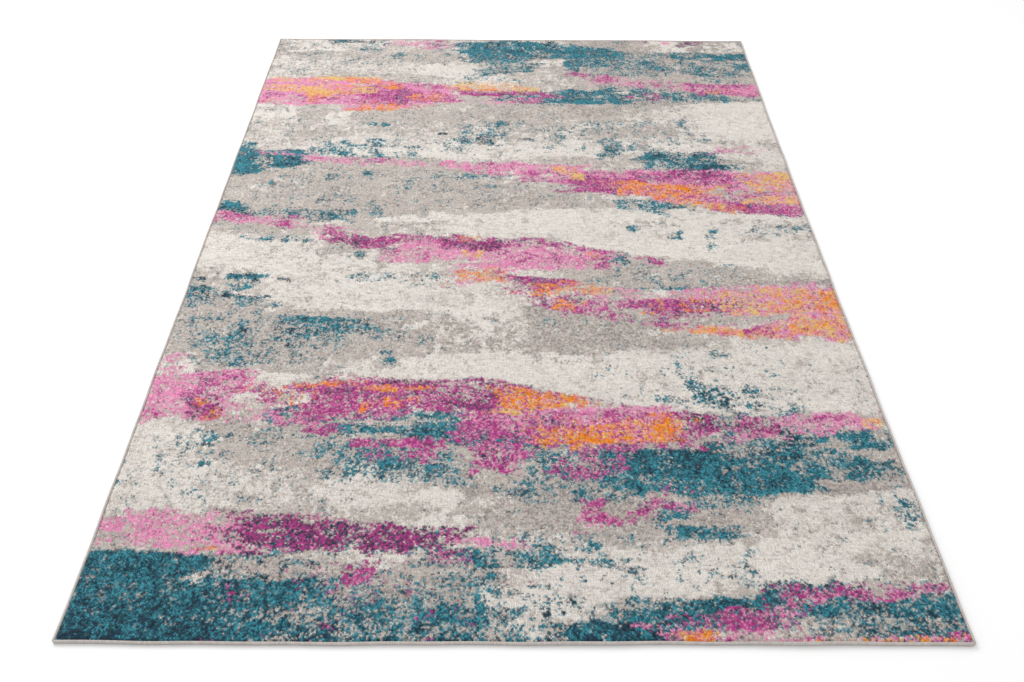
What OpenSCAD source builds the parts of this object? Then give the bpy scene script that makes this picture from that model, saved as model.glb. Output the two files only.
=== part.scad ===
// Machine-woven area rug, lying flat. The origin is at the centre of the underside,
// +X runs across the width, +Y runs along the length and +Z is up out of the pile.
//
// From the floor upwards the rug is a latex back coat, a lower layer of jute weft shots, the
// stuffer warps, an upper layer of weft shots, and a cut pile in nine yarn colours. A filler
// cord wrapped in overcast yarn closes each of the four edges and each corner.

/* [Rug] */
// Width over the overcast edges
rug_w = 1600; // [1200:50:2000]
// Length over the overcast edges
rug_l = 2300; // [1700:50:3000]

/* [Pile] */
// Height of the cut pile above the ground weave
pile_h = 6.2; // [4:0.2:12]

/* [Ground weave] */
// Thickness of the latex film on the underside
back_coat_t = 0.5; // [0.3:0.1:1]
// Thickness of one layer of flattened jute weft shots
weft_t = 0.9; // [0.6:0.1:1.4]
// Width of one weft shot
weft_shot_w = 3; // [2:0.5:4]
// Distance from one drawn weft shot to the next
weft_pitch = 10; // [8:1:20]
// Thickness of the stuffer warps
warp_t = 0.5; // [0.3:0.1:1]
// Width of one group of stuffer warps
warp_group_w = 4; // [2:0.5:6]
// Distance from one drawn group of stuffer warps to the next
warp_pitch = 10; // [8:1:20]

/* [Overcast edge] */
// How far the overcast edge reaches out from the pile
edge_w = 5.5; // [5:0.5:10]
// Diameter of the filler cord inside the overcast edge
cord_d = 3; // [2:0.2:4]

/* [Hidden] */

// The woven field inside the overcast edges
field_w = rug_w - 2 * edge_w;
field_l = rug_l - 2 * edge_w;

// Heights of the layers above the floor
weft_lower_z = back_coat_t;
warp_z = weft_lower_z + weft_t;
weft_upper_z = warp_z + warp_t;
pile_z = weft_upper_z + weft_t;
rug_h = pile_z + pile_h;

// Number of steps along each long side of a brushed band, and round the outside of the edge
band_steps = 8;
edge_steps = 12;
// Share of its full width that a band still has at its blunt ends
band_end = 0.25;

// The pattern is drawn on a sheet of 160 by 230 units that stretches over the field.
sheet_w = 160;
sheet_l = 230;

// Brushed bands of each pile colour, as [start x, end x, start y, end y, width] on the sheet.
// A colour further down covers those above it, and cream fills whatever the bands leave open.
GREY = [
  [-80, 4, 104, 97, 17], [-26, 50, 62, 57, 16], [-80, 18, 26, 20, 20], [26, 66, -12, -16, 9],
  [-78, -12, -33, -44, 14], [-10, 50, -84, -87, 14], [-46, 10, -98, -104, 8]
];
TAUPE = [
  [20, 80, 106, 95, 10], [-2, 44, -31, -36, 15], [44, 80, -69, -79, 14], [-42, -6, -104, -107, 6]
];
TEAL = [
  [-14, 36, 108, 104, 14], [24, 80, 97, 101, 9], [-10, 12, 93, 91, 9], [10, 78, 75, 76, 8],
  [-80, -57, 39, 38, 9], [36, 64, 39, 36, 9], [-80, -44, 16, 10, 4], [-80, -58, -20, -25, 6],
  [-68, -22, -36, -34, 6], [-42, 2, -62, -67, 7], [-14, 46, -74, -73, 6], [64, 79, -71, -73, 9],
  [-80, -30, -104, -110, 18], [-18, 12, -97, -98, 3], [10, 80, -112, -106, 6]
];
NAVY = [
  [-2, 16, 108, 106, 5], [-68, -59, 38, 38, 5], [-36, -8, -65, -67, 4], [26, 58, -73, -79, 8],
  [-80, -52, -108, -111, 8], [-4, 30, -114, -113, 2]
];
PINK = [
  [-80, -16, 79, 77, 15], [20, 80, 89, 79, 6], [-70, 10, 42, 35, 2], [2, 80, 33, 21, 17],
  [-80, -56, 12, 6, 4], [-40, 26, -7, -9, 11], [2, 80, -20, -27, 15], [-80, -56, -56, -57, 16],
  [-4, 78, -58, -63, 8], [-80, -54, -90, -94, 8], [24, 80, -112, -105, 3]
];
MAGENTA = [
  [-48, -18, 77, 75, 10], [-14, 14, 77, 75, 3], [14, 42, 30, 21, 6], [58, 80, 17, 13, 5],
  [-46, 28, 0, -4, 7], [2, 26, -19, -23, 6], [34, 54, -29, -31, 6], [-60, 8, -55, -56, 9],
  [-30, 2, -68, -75, 6], [36, 50, -62, -64, 5], [-52, -8, -91, -93, 6], [14, 34, -86, -85, 3],
  [44, 56, -112, -110, 3]
];
APRICOT = [
  [-76, -44, 80, 80, 7], [-17, 4, 80, 80, 3], [66, 80, 28, 27, 7], [64, 80, 19, 18, 4],
  [66, 80, -26, -30, 16], [-14, -2, -15, -16, 4], [-1, 18, -56, -58, 6]
];
ORANGE = [
  [-46, -30, 69, 68, 3], [33, 60, 23, 19, 8], [40, 66, -36, -36, 3], [6, 22, -22, -19, 3],
  [-32, -18, -56, -57, 4], [5, 38, -67, -66, 7], [27, 38, -114, -113, 2]
];
// The colours above cream, from the lowest to the topmost
COLOURS = [GREY, TAUPE, TEAL, NAVY, PINK, MAGENTA, APRICOT, ORANGE];

// Where the cord's centre lies, measured out from the field
cord_out = edge_w / 2;
cord_z = rug_h / 2;

// Width of a band, as a share of its full width, a share t of the way along it
function swell(t) = max(band_end, pow(sin(180 * t), 0.6));

// Point on one side of a band, a share t of the way along it
function band_point(band, t, side) = [
  (band[0] + (band[1] - band[0]) * t) * field_w / sheet_w,
  (band[2] + (band[3] - band[2]) * t + side * band[4] / 2 * swell(t)) * field_l / sheet_l
];

// Closed outline of a band
function band_outline(band) = concat(
  [for (i = [0:band_steps]) band_point(band, i / band_steps, -1)],
  [for (i = [band_steps:-1:0]) band_point(band, i / band_steps, 1)]
);

// All bands of one colour
module bands(colour) {
  for (band = colour) polygon(band_outline(band));
}

// All bands of the colours from one level upwards
module bands_from(level) {
  for (i = [level:1:len(COLOURS) - 1]) bands(COLOURS[i]);
}

// Pile of one colour: its bands, less those that cover them
module coloured_pile(level) {
  translate([0, 0, pile_z]) linear_extrude(pile_h) intersection() {
    square([field_w, field_l], center = true);
    difference() {
      bands(COLOURS[level]);
      bands_from(level + 1);
    }
  }
}

module pile_cream() {
  color([0.88, 0.85, 0.81]) translate([0, 0, pile_z]) linear_extrude(pile_h) difference() {
    square([field_w, field_l], center = true);
    bands_from(0);
  }
}

module pile_grey() {
  color([0.74, 0.71, 0.69]) coloured_pile(0);
}

module pile_taupe() {
  color([0.6, 0.56, 0.55]) coloured_pile(1);
}

module pile_teal() {
  color([0.33, 0.51, 0.55]) coloured_pile(2);
}

module pile_navy() {
  color([0.17, 0.28, 0.33]) coloured_pile(3);
}

module pile_pink() {
  color([0.87, 0.61, 0.72]) coloured_pile(4);
}

module pile_magenta() {
  color([0.66, 0.31, 0.53]) coloured_pile(5);
}

module pile_apricot() {
  color([0.93, 0.72, 0.47]) coloured_pile(6);
}

module pile_orange() {
  color([0.9, 0.52, 0.24]) coloured_pile(7);
}

module back_coat() {
  color([0.86, 0.82, 0.74]) translate([0, 0, back_coat_t / 2])
    cube([field_w, field_l, back_coat_t], center = true);
}

// Flat shots that cross the field from side to side, in a layer that starts at height z
module weft_shots(z, first) {
  for (y = [-field_l / 2 + first : weft_pitch : field_l / 2 - weft_shot_w / 2])
    translate([0, y, z + weft_t / 2]) cube([field_w, weft_shot_w, weft_t], center = true);
}

module weft_lower() {
  color([0.72, 0.58, 0.4]) weft_shots(weft_lower_z, weft_shot_w);
}

module weft_upper() {
  color([0.76, 0.63, 0.45]) weft_shots(weft_upper_z, weft_shot_w + weft_pitch / 2);
}

module stuffer_warps() {
  color([0.9, 0.88, 0.83])
    for (x = [-field_w / 2 + warp_group_w : warp_pitch : field_w / 2 - warp_group_w / 2])
      translate([x, 0, warp_z + warp_t / 2]) cube([warp_group_w, field_l, warp_t], center = true);
}

// Filler cord that runs along X, centred on the origin
module cord(length) {
  color([0.8, 0.77, 0.72]) rotate([0, 90, 0]) cylinder(h = length, d = cord_d, center = true, $fn = 24);
}

// Upright outline of the overcast edge: flat where it meets the field, round outside
module edge_outline() {
  polygon(concat(
    [[0, 0]],
    [for (i = [0:edge_steps]) let (a = -90 + 180 * i / edge_steps)
      [edge_w / 2 + edge_w / 2 * cos(a), rug_h / 2 + rug_h / 2 * sin(a)]],
    [[0, rug_h]]
  ));
}

// Overcast yarn along one edge, running along Y with the field on its left, with the cord's hole
module overcast(length) {
  color([0.6, 0.58, 0.56]) rotate([90, 0, 0]) linear_extrude(length, center = true) difference() {
    edge_outline();
    translate([cord_out, cord_z]) circle(d = cord_d, $fn = 24);
  }
}

// Overcast yarn fanned round one corner of the field, in the quarter between +X and +Y
module corner() {
  color([0.58, 0.56, 0.54]) rotate_extrude(angle = 90, $fn = 48) edge_outline();
}

module cord_left() {
  translate([-field_w / 2 - cord_out, 0, cord_z]) rotate([0, 0, 90]) cord(field_l);
}

module cord_right() {
  translate([field_w / 2 + cord_out, 0, cord_z]) rotate([0, 0, 90]) cord(field_l);
}

module cord_near() {
  translate([0, -field_l / 2 - cord_out, cord_z]) cord(field_w);
}

module cord_far() {
  translate([0, field_l / 2 + cord_out, cord_z]) cord(field_w);
}

module overcast_right() {
  translate([field_w / 2, 0, 0]) overcast(field_l);
}

module overcast_far() {
  translate([0, field_l / 2, 0]) rotate([0, 0, 90]) overcast(field_w);
}

module overcast_left() {
  translate([-field_w / 2, 0, 0]) rotate([0, 0, 180]) overcast(field_l);
}

module overcast_near() {
  translate([0, -field_l / 2, 0]) rotate([0, 0, -90]) overcast(field_w);
}

module corner_far_right() {
  translate([field_w / 2, field_l / 2, 0]) corner();
}

module corner_far_left() {
  translate([-field_w / 2, field_l / 2, 0]) rotate([0, 0, 90]) corner();
}

module corner_near_left() {
  translate([-field_w / 2, -field_l / 2, 0]) rotate([0, 0, 180]) corner();
}

module corner_near_right() {
  translate([field_w / 2, -field_l / 2, 0]) rotate([0, 0, -90]) corner();
}

back_coat();
weft_lower();
stuffer_warps();
weft_upper();
pile_cream();
pile_grey();
pile_taupe();
pile_teal();
pile_navy();
pile_pink();
pile_magenta();
pile_apricot();
pile_orange();
cord_left();
cord_right();
cord_near();
cord_far();
overcast_left();
overcast_right();
overcast_near();
overcast_far();
corner_near_left();
corner_near_right();
corner_far_right();
corner_far_left();
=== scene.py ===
"""A machine-woven cut-pile area rug, lying flat on a plain floor.

The rug is built up as the loom and the finishing line build it: a latex-coated back, two layers of
jute weft with stuffer warps between them, a cut pile in nine yarn colours, and four filler cords
wrapped in overcast yarn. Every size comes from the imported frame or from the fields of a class.
"""

import logging
import math
from collections.abc import Callable
from dataclasses import dataclass
from enum import Enum

import bmesh
import bpy
import numpy as np
from mathutils import Matrix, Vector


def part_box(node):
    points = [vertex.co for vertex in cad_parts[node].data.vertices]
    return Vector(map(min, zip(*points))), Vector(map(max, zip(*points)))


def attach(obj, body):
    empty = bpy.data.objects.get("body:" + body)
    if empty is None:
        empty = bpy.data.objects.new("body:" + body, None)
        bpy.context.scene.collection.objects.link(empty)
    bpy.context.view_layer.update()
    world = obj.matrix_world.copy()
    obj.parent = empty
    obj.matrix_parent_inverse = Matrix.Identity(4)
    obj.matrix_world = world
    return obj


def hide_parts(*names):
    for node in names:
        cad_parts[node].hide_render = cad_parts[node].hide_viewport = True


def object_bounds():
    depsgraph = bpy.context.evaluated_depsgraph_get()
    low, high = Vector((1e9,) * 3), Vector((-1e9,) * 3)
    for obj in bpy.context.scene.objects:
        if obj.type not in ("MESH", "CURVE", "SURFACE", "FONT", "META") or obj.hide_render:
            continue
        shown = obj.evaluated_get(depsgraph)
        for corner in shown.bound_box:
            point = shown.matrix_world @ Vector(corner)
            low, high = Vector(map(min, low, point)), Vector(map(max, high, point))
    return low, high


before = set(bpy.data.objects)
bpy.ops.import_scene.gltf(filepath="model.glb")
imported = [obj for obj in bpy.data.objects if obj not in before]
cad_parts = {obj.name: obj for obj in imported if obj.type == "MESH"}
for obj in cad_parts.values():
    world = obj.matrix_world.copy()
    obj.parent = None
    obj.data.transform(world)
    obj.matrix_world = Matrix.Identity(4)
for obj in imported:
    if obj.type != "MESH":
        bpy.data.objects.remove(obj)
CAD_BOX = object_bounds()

LOG = logging.getLogger("rug")
MM = 0.001
CM = 0.01
BODY = "root"
TAU = 2.0 * math.pi

# Points closer than this, in metres, are joined where a rolled-up grid meets itself.
SEAM_GAP = 1e-6

# Scale of a wave texture whose bands are one metre apart.
WAVES_PER_METRE = 0.314


# ---------------------------------------------------------------------------------------------
# Shader maths
# ---------------------------------------------------------------------------------------------


class Value:
    """One shader socket with Python's operators, each of which adds its own node."""

    def __init__(self, graph: "Graph", socket: bpy.types.NodeSocket) -> None:
        """Wraps a socket.

        Args:
            graph: The graph that the socket belongs to.
            socket: The output socket that carries the value.
        """
        self.graph = graph
        self.socket = socket

    def _math(self, operation: str, *values: "Value | float") -> "Value":
        """Adds one Math node on the given values."""
        return self.graph.node("ShaderNodeMath", {"operation": operation}, *values)

    def __add__(self, other: "Value | float") -> "Value":
        """Sum."""
        return self._math("ADD", self, other)

    def __sub__(self, other: "Value | float") -> "Value":
        """Difference."""
        return self._math("SUBTRACT", self, other)

    def __rsub__(self, other: float) -> "Value":
        """Difference from a plain number."""
        return self._math("SUBTRACT", other, self)

    def __mul__(self, other: "Value | float") -> "Value":
        """Product."""
        return self._math("MULTIPLY", self, other)

    __radd__ = __add__
    __rmul__ = __mul__

    def clamp(self) -> "Value":
        """Keeps the value between 0 and 1."""
        return self._math("MAXIMUM", self._math("MINIMUM", self, 1.0), 0.0)

    def ramp(self, low: float, high: float) -> "Value":
        """Runs smoothly from 0 at low to 1 at high."""
        settings = {"interpolation_type": "SMOOTHSTEP"}
        return self.graph.node("ShaderNodeMapRange", settings, Value=self, From_Min=low, From_Max=high)


class Graph:
    """The node tree of one material, with a Principled shader at its end."""

    def __init__(self, name: str) -> None:
        """Starts an empty material.

        Args:
            name: Name of the material.
        """
        self.material = bpy.data.materials.new(name)
        self.material.use_nodes = True
        self.tree = self.material.node_tree
        self.tree.nodes.clear()
        self.shader = self.tree.nodes.new("ShaderNodeBsdfPrincipled")
        out = self.tree.nodes.new("ShaderNodeOutputMaterial")
        self.tree.links.new(self.shader.outputs["BSDF"], out.inputs["Surface"])

    def feed(self, socket: bpy.types.NodeSocket, value: object) -> None:
        """Links a value to a socket, or sets the socket's own default.

        Args:
            socket: The input socket.
            value: A Value, a number, a vector or a colour.
        """
        if isinstance(value, Value):
            self.tree.links.new(value.socket, socket)
        elif isinstance(value, (tuple, list)) and socket.type == "RGBA" and len(value) == 3:
            socket.default_value = (*value, 1.0)
        else:
            socket.default_value = value

    def node(
        self, kind: str, settings: dict, *values: object, out: str | int = 0, **named: object
    ) -> Value:
        """Adds any node.

        Args:
            kind: The node's type.
            settings: Properties that are set first.
            *values: Values or links for the first inputs, in order.
            out: Which output the result reads.
            **named: Values or links by input name, with _ for a space.

        Returns:
            The chosen output.
        """
        node = self.tree.nodes.new(kind)
        for key, setting in settings.items():
            setattr(node, key, setting)
        for socket, value in zip(node.inputs, values):
            self.feed(socket, value)
        for key, value in named.items():
            self.feed(node.inputs[key.replace("_", " ")], value)
        return Value(self, node.outputs[out])

    def place(self) -> Value:
        """Object coordinates, in metres."""
        return self.node("ShaderNodeTexCoord", {}, out="Object")

    def attribute(self, name: str) -> Value:
        """One number stored on the mesh."""
        return self.node("ShaderNodeAttribute", {"attribute_name": name}, out="Fac")

    def noise(self, where: Value, scale: float, detail: float = 2.0, stretch: tuple = (1, 1, 1)) -> Value:
        """Noise between about 0.25 and 0.75.

        Args:
            where: Coordinates.
            scale: Features per metre.
            detail: Octaves of finer noise.
            stretch: How much the pattern is squeezed along each axis.

        Returns:
            The noise.
        """
        scaled = self.node("ShaderNodeMapping", {}, Vector=where, Scale=stretch)
        return self.node("ShaderNodeTexNoise", {}, Vector=scaled, Scale=scale, Detail=detail, out="Fac")

    def mix(self, factor: "Value | float", first: object, second: object, blend: str = "MIX") -> Value:
        """Mixes two colours.

        Args:
            factor: Share of the second colour.
            first: Colour at 0.
            second: Colour at 1.
            blend: Blend mode.

        Returns:
            The mixed colour.
        """
        settings = {"data_type": "RGBA", "blend_type": blend, "clamp_factor": True}
        node = self.tree.nodes.new("ShaderNodeMix")
        for key, setting in settings.items():
            setattr(node, key, setting)
        self.feed(node.inputs[0], factor)
        self.feed(node.inputs[6], first)
        self.feed(node.inputs[7], second)
        return Value(self, node.outputs[2])

    def bump(self, height: Value, distance: float, strength: float = 1.0) -> Value:
        """Turns a height between 0 and 1 into a normal.

        Args:
            height: The height.
            distance: Depth of the relief in metres.
            strength: Share of the relief that shows.

        Returns:
            The normal.
        """
        sizes = {"Strength": strength, "Distance": distance}
        return self.node("ShaderNodeBump", {}, Height=height, out="Normal", **sizes)

    def finish(self, **sockets: object) -> bpy.types.Material:
        """Sets the Principled shader's sockets, by name with _ for a space."""
        for key, value in sockets.items():
            self.feed(self.shader.inputs[key.replace("_", " ")], value)
        return self.material


def srgb(red: int, green: int, blue: int) -> tuple[float, float, float]:
    """Turns a colour as a dye chart gives it, from 0 to 255, into linear light."""
    steps = (channel / 255.0 for channel in (red, green, blue))
    return tuple(s / 12.92 if s <= 0.04045 else ((s + 0.055) / 1.055) ** 2.4 for s in steps)


# ---------------------------------------------------------------------------------------------
# Finishes
# ---------------------------------------------------------------------------------------------


@dataclass(frozen=True)
class PileYarn:
    """Heat-set polypropylene pile yarn, cut, so that each tuft shows the ends of its fibres.

    Attributes:
        name: Name of the material.
        colour: Dye colour of the fibre ends.
        depth: How dark the gaps between the tufts are painted, as painted shade: the share of a tip's
            brightness left there.
        spread: How far the tufts differ from each other, partly in the yarn's own tone and partly as
            painted shade of tufts that lean different ways.
        sheen: Soft sheen of the standing fibres.
        splay: How far the fibres of the next tufts show through at a tuft's corners.
    """

    name: str
    colour: tuple[float, float, float]
    depth: float = 0.68
    spread: float = 0.1
    sheen: float = 0.12
    splay: float = 0.85

    def make(self) -> bpy.types.Material:
        """Builds the material.

        Returns:
            The material.
        """
        g = Graph(self.name)
        place = g.place()
        tuft = g.attribute("shade")
        tip = g.attribute("tip")
        fibre = g.noise(place, 2600.0, 2.0)
        clump = g.noise(place, 150.0, 2.0, (1.5, 0.6, 1.0))
        brushed = g.noise(place, 9.0, 3.0, (0.35, 1.0, 1.0))
        crown = (tip * 1.25 + (fibre - 0.5) * 0.35).ramp(0.0, 0.75)
        # Partly the yarn's own uneven tone, partly painted shade and light: tufts and clumps that lean
        # different ways are painted lighter or darker.
        tone = 1.0 + (tuft - 0.5) * (2.0 * self.spread) + (brushed - 0.5) * 0.18
        tone = tone + (clump - 0.5) * (0.2 + 2.5 * self.spread)
        # Painted shade: each tuft's colour darkens from its tip down into the gaps between the tufts.
        shade = tone * (crown * (1.0 - self.depth) + self.depth)
        shade = shade * (0.9 + (fibre - 0.35).clamp() * 0.19)
        mingled = g.node("ShaderNodeAttribute", {"attribute_name": "mingled"}, out="Color")
        dyed = g.mix(self.splay, self.colour, mingled)
        grey = g.node("ShaderNodeCombineColor", {}, shade, shade, shade)
        colour = g.mix(1.0, dyed, grey, "MULTIPLY")
        relief = fibre * 0.6 + g.noise(place, 900.0, 1.0) * 0.4
        return g.finish(
            Base_Color=colour,
            Roughness=0.88 - crown * 0.1,
            Normal=g.bump(relief, 0.35 * MM, 0.5),
            Sheen_Weight=self.sheen,
            Sheen_Roughness=0.5,
            Specular_IOR_Level=0.25,
        )


@dataclass(frozen=True)
class OvercastYarn:
    """Dull grey overcast yarn, wound in close turns.

    Attributes:
        name: Name of the material.
        colour: Dye colour.
        shaded: Height above the floor below which the yarn is painted darker, as painted shade near the
            floor.
    """

    name: str = "overcast_yarn"
    colour: tuple[float, float, float] = srgb(195, 187, 182)
    shaded: float = 7.0 * MM

    def make(self) -> bpy.types.Material:
        """Builds the material.

        Returns:
            The material.
        """
        g = Graph(self.name)
        place = g.place()
        crest = g.attribute("crest")
        turn = g.attribute("shade")
        fibre = g.noise(place, 3000.0, 2.0)
        worn = g.noise(place, 45.0, 2.0)
        # Painted shade: the yarn darkens from the crest of each turn down into the grooves between turns.
        # The other terms are the yarn's own uneven tone.
        tone = 0.74 + crest * 0.3 + (turn - 0.5) * 0.16 + (fibre - 0.5) * 0.3 + (worn - 0.5) * 0.2
        height = g.node("ShaderNodeSeparateXYZ", {}, place, out="Z")
        # Painted shade near the floor: the yarn darkens below this height, and is darkest in its lower
        # half.
        tone = tone * (0.7 + (height * (1.0 / self.shaded)).ramp(0.5, 1.0) * 0.3)
        grey = g.node("ShaderNodeCombineColor", {}, tone, tone, tone)
        colour = g.mix(1.0, self.colour, grey, "MULTIPLY")
        return g.finish(
            Base_Color=colour,
            Roughness=0.9 - crest * 0.12,
            Normal=g.bump(fibre, 0.25 * MM, 0.6),
            Sheen_Weight=0.12,
            Sheen_Roughness=0.5,
            Specular_IOR_Level=0.25,
        )


@dataclass(frozen=True)
class LatexCoat:
    """Dried latex film that carries the print of the weave under it.

    Attributes:
        name: Name of the material.
        pitch: Distance between the weft shots that print through.
    """

    name: str = "latex_coat"
    pitch: float = 3.8 * MM

    def make(self) -> bpy.types.Material:
        """Builds the material.

        Returns:
            The material.
        """
        g = Graph(self.name)
        place = g.place()
        waves = WAVES_PER_METRE / self.pitch / 2.0
        shots = {"wave_type": "BANDS", "bands_direction": "Y"}
        weft = g.node("ShaderNodeTexWave", shots, Vector=place, Scale=waves, Distortion=0.6)
        groups = {"wave_type": "BANDS", "bands_direction": "X"}
        warp = g.node("ShaderNodeTexWave", groups, Vector=place, Scale=waves, Distortion=0.4)
        blot = g.noise(place, 30.0, 4.0)
        grain = g.noise(place, 1500.0, 2.0)
        print_through = weft * 0.6 + warp * 0.4
        colour = g.mix(print_through * 0.55 + (blot - 0.5) * 0.8, srgb(168, 150, 120), srgb(222, 210, 188))
        return g.finish(
            Base_Color=colour,
            Roughness=0.62 + grain * 0.25,
            Normal=g.bump(print_through + grain * 0.3, 0.5 * MM, 0.8),
            Specular_IOR_Level=0.35,
        )


@dataclass(frozen=True)
class SpunYarn:
    """Twisted ground yarn, such as jute weft, cotton warp or the filler cord.

    Attributes:
        name: Name of the material.
        dark: Colour in the twist.
        pale: Colour on the strands.
    """

    name: str
    dark: tuple[float, float, float]
    pale: tuple[float, float, float]

    def make(self) -> bpy.types.Material:
        """Builds the material.

        Returns:
            The material.
        """
        g = Graph(self.name)
        place = g.place()
        fibre = g.noise(place, 1600.0, 3.0, (1.0, 0.5, 1.0))
        slub = g.noise(place, 60.0, 2.0)
        colour = g.mix((fibre * 0.8 + slub * 0.5 - 0.1).clamp(), self.dark, self.pale)
        relief = g.bump(fibre, 0.3 * MM, 0.7)
        return g.finish(Base_Color=colour, Roughness=0.85 + fibre * 0.1, Normal=relief)


@dataclass(frozen=True)
class StudioFloor:
    """Even, matt studio floor.

    Attributes:
        name: Name of the material.
        tone: Reflectance.
        mottled: Reflectance of its slightly darker patches.
    """

    name: str = "studio_floor"
    tone: float = 0.97
    mottled: float = 0.97 * 0.99

    def make(self) -> bpy.types.Material:
        """Builds the material.

        Returns:
            The material.
        """
        g = Graph(self.name)
        mottle = g.noise(g.place(), 3.0, 2.0)
        colour = g.mix(mottle, (self.tone,) * 3, (self.mottled,) * 3)
        return g.finish(Base_Color=colour, Roughness=0.95, Specular_IOR_Level=0.1)


# ---------------------------------------------------------------------------------------------
# Design
# ---------------------------------------------------------------------------------------------


def cloud_field(shape: tuple[int, int], cell: tuple[float, float], rng: np.random.Generator) -> np.ndarray:
    """Draws a smooth random field.

    Args:
        shape: Rows and columns.
        cell: Size of its features in rows and columns.
        rng: Source of random numbers.

    Returns:
        The field, between 0 and 1.
    """
    rows, cols = int(shape[0] / cell[0]) + 3, int(shape[1] / cell[1]) + 3
    knots = rng.random((rows, cols))
    y, x = np.arange(shape[0]) / cell[0], np.arange(shape[1]) / cell[1]
    row, col = y.astype(int), x.astype(int)
    up, right = y - row, x - col
    up = (up * up * (3 - 2 * up))[:, None]
    right = (right * right * (3 - 2 * right))[None, :]
    first = knots[row][:, col] * (1 - right) + knots[row][:, col + 1] * right
    second = knots[row + 1][:, col] * (1 - right) + knots[row + 1][:, col + 1] * right
    return first * (1 - up) + second * up


def speck_field(shape: tuple[int, int], rng: np.random.Generator, fine: float, clump: float) -> np.ndarray:
    """Draws the specks that a half-covering brush leaves.

    Args:
        shape: Rows and columns.
        rng: Source of random numbers.
        fine: Weight of specks one tuft wide.
        clump: Weight of larger specks.

    Returns:
        The field, with its values spread evenly from 0 to 1.
    """
    field = fine * rng.random(shape)
    layers = (
        (clump, (3.2, 3.2)),
        (clump, (7.5, 7.5)),
        (0.45, (1.6, 14.0)),
        (0.5, (15.0, 1.8)),
        (0.5 * clump, (14.0, 26.0)),
    )
    for weight, cell in layers:
        field = field + weight * cloud_field(shape, cell, rng)
    order = np.empty(field.size)
    order[np.argsort(field, axis=None)] = (np.arange(field.size) + 0.5) / field.size
    return order.reshape(shape)


class Yarn(Enum):
    """One pile yarn in the loom's creel, named as its CAD node is."""

    CREAM = "pile_cream"
    GREY = "pile_grey"
    TAUPE = "pile_taupe"
    TEAL = "pile_teal"
    NAVY = "pile_navy"
    PINK = "pile_pink"
    MAGENTA = "pile_magenta"
    APRICOT = "pile_apricot"
    ORANGE = "pile_orange"


class Blend(Enum):
    """A mix of yarns that a brush lays down, as shares that add up to one."""

    CREAM = ((Yarn.CREAM, 0.97), (Yarn.GREY, 0.03))
    PALE = ((Yarn.CREAM, 0.42), (Yarn.GREY, 0.45), (Yarn.TAUPE, 0.1), (Yarn.TEAL, 0.03))
    GREY = ((Yarn.GREY, 0.79), (Yarn.CREAM, 0.05), (Yarn.TAUPE, 0.13), (Yarn.TEAL, 0.03))
    TAUPE = ((Yarn.TAUPE, 0.46), (Yarn.GREY, 0.5), (Yarn.CREAM, 0.04))
    TEAL = ((Yarn.TEAL, 0.76), (Yarn.NAVY, 0.17), (Yarn.TAUPE, 0.05), (Yarn.GREY, 0.02))
    DEEP = ((Yarn.NAVY, 0.66), (Yarn.TEAL, 0.34))
    PINK = ((Yarn.PINK, 0.76), (Yarn.CREAM, 0.05), (Yarn.GREY, 0.1), (Yarn.MAGENTA, 0.09))
    MAGENTA = (
        (Yarn.MAGENTA, 0.65), (Yarn.PINK, 0.19), (Yarn.TAUPE, 0.05), (Yarn.NAVY, 0.07), (Yarn.TEAL, 0.04)
    )
    PLUM = ((Yarn.MAGENTA, 0.5), (Yarn.NAVY, 0.4), (Yarn.PINK, 0.05), (Yarn.TAUPE, 0.05))
    APRICOT = ((Yarn.APRICOT, 0.7), (Yarn.PINK, 0.15), (Yarn.ORANGE, 0.11), (Yarn.CREAM, 0.04))
    ORANGE = ((Yarn.ORANGE, 0.5), (Yarn.APRICOT, 0.2), (Yarn.PINK, 0.15), (Yarn.MAGENTA, 0.15))


# Blends whose yarns are mixed tuft by tuft. The others keep together in small clumps.
HEATHER = (Blend.PALE, Blend.GREY, Blend.TAUPE, Blend.MAGENTA, Blend.PLUM)

# Blends whose brush leaves cloudy gaps, not even specks, and doesn't dull the cream beside it.
QUIET = (Blend.CREAM, Blend.PALE, Blend.GREY)

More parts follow.
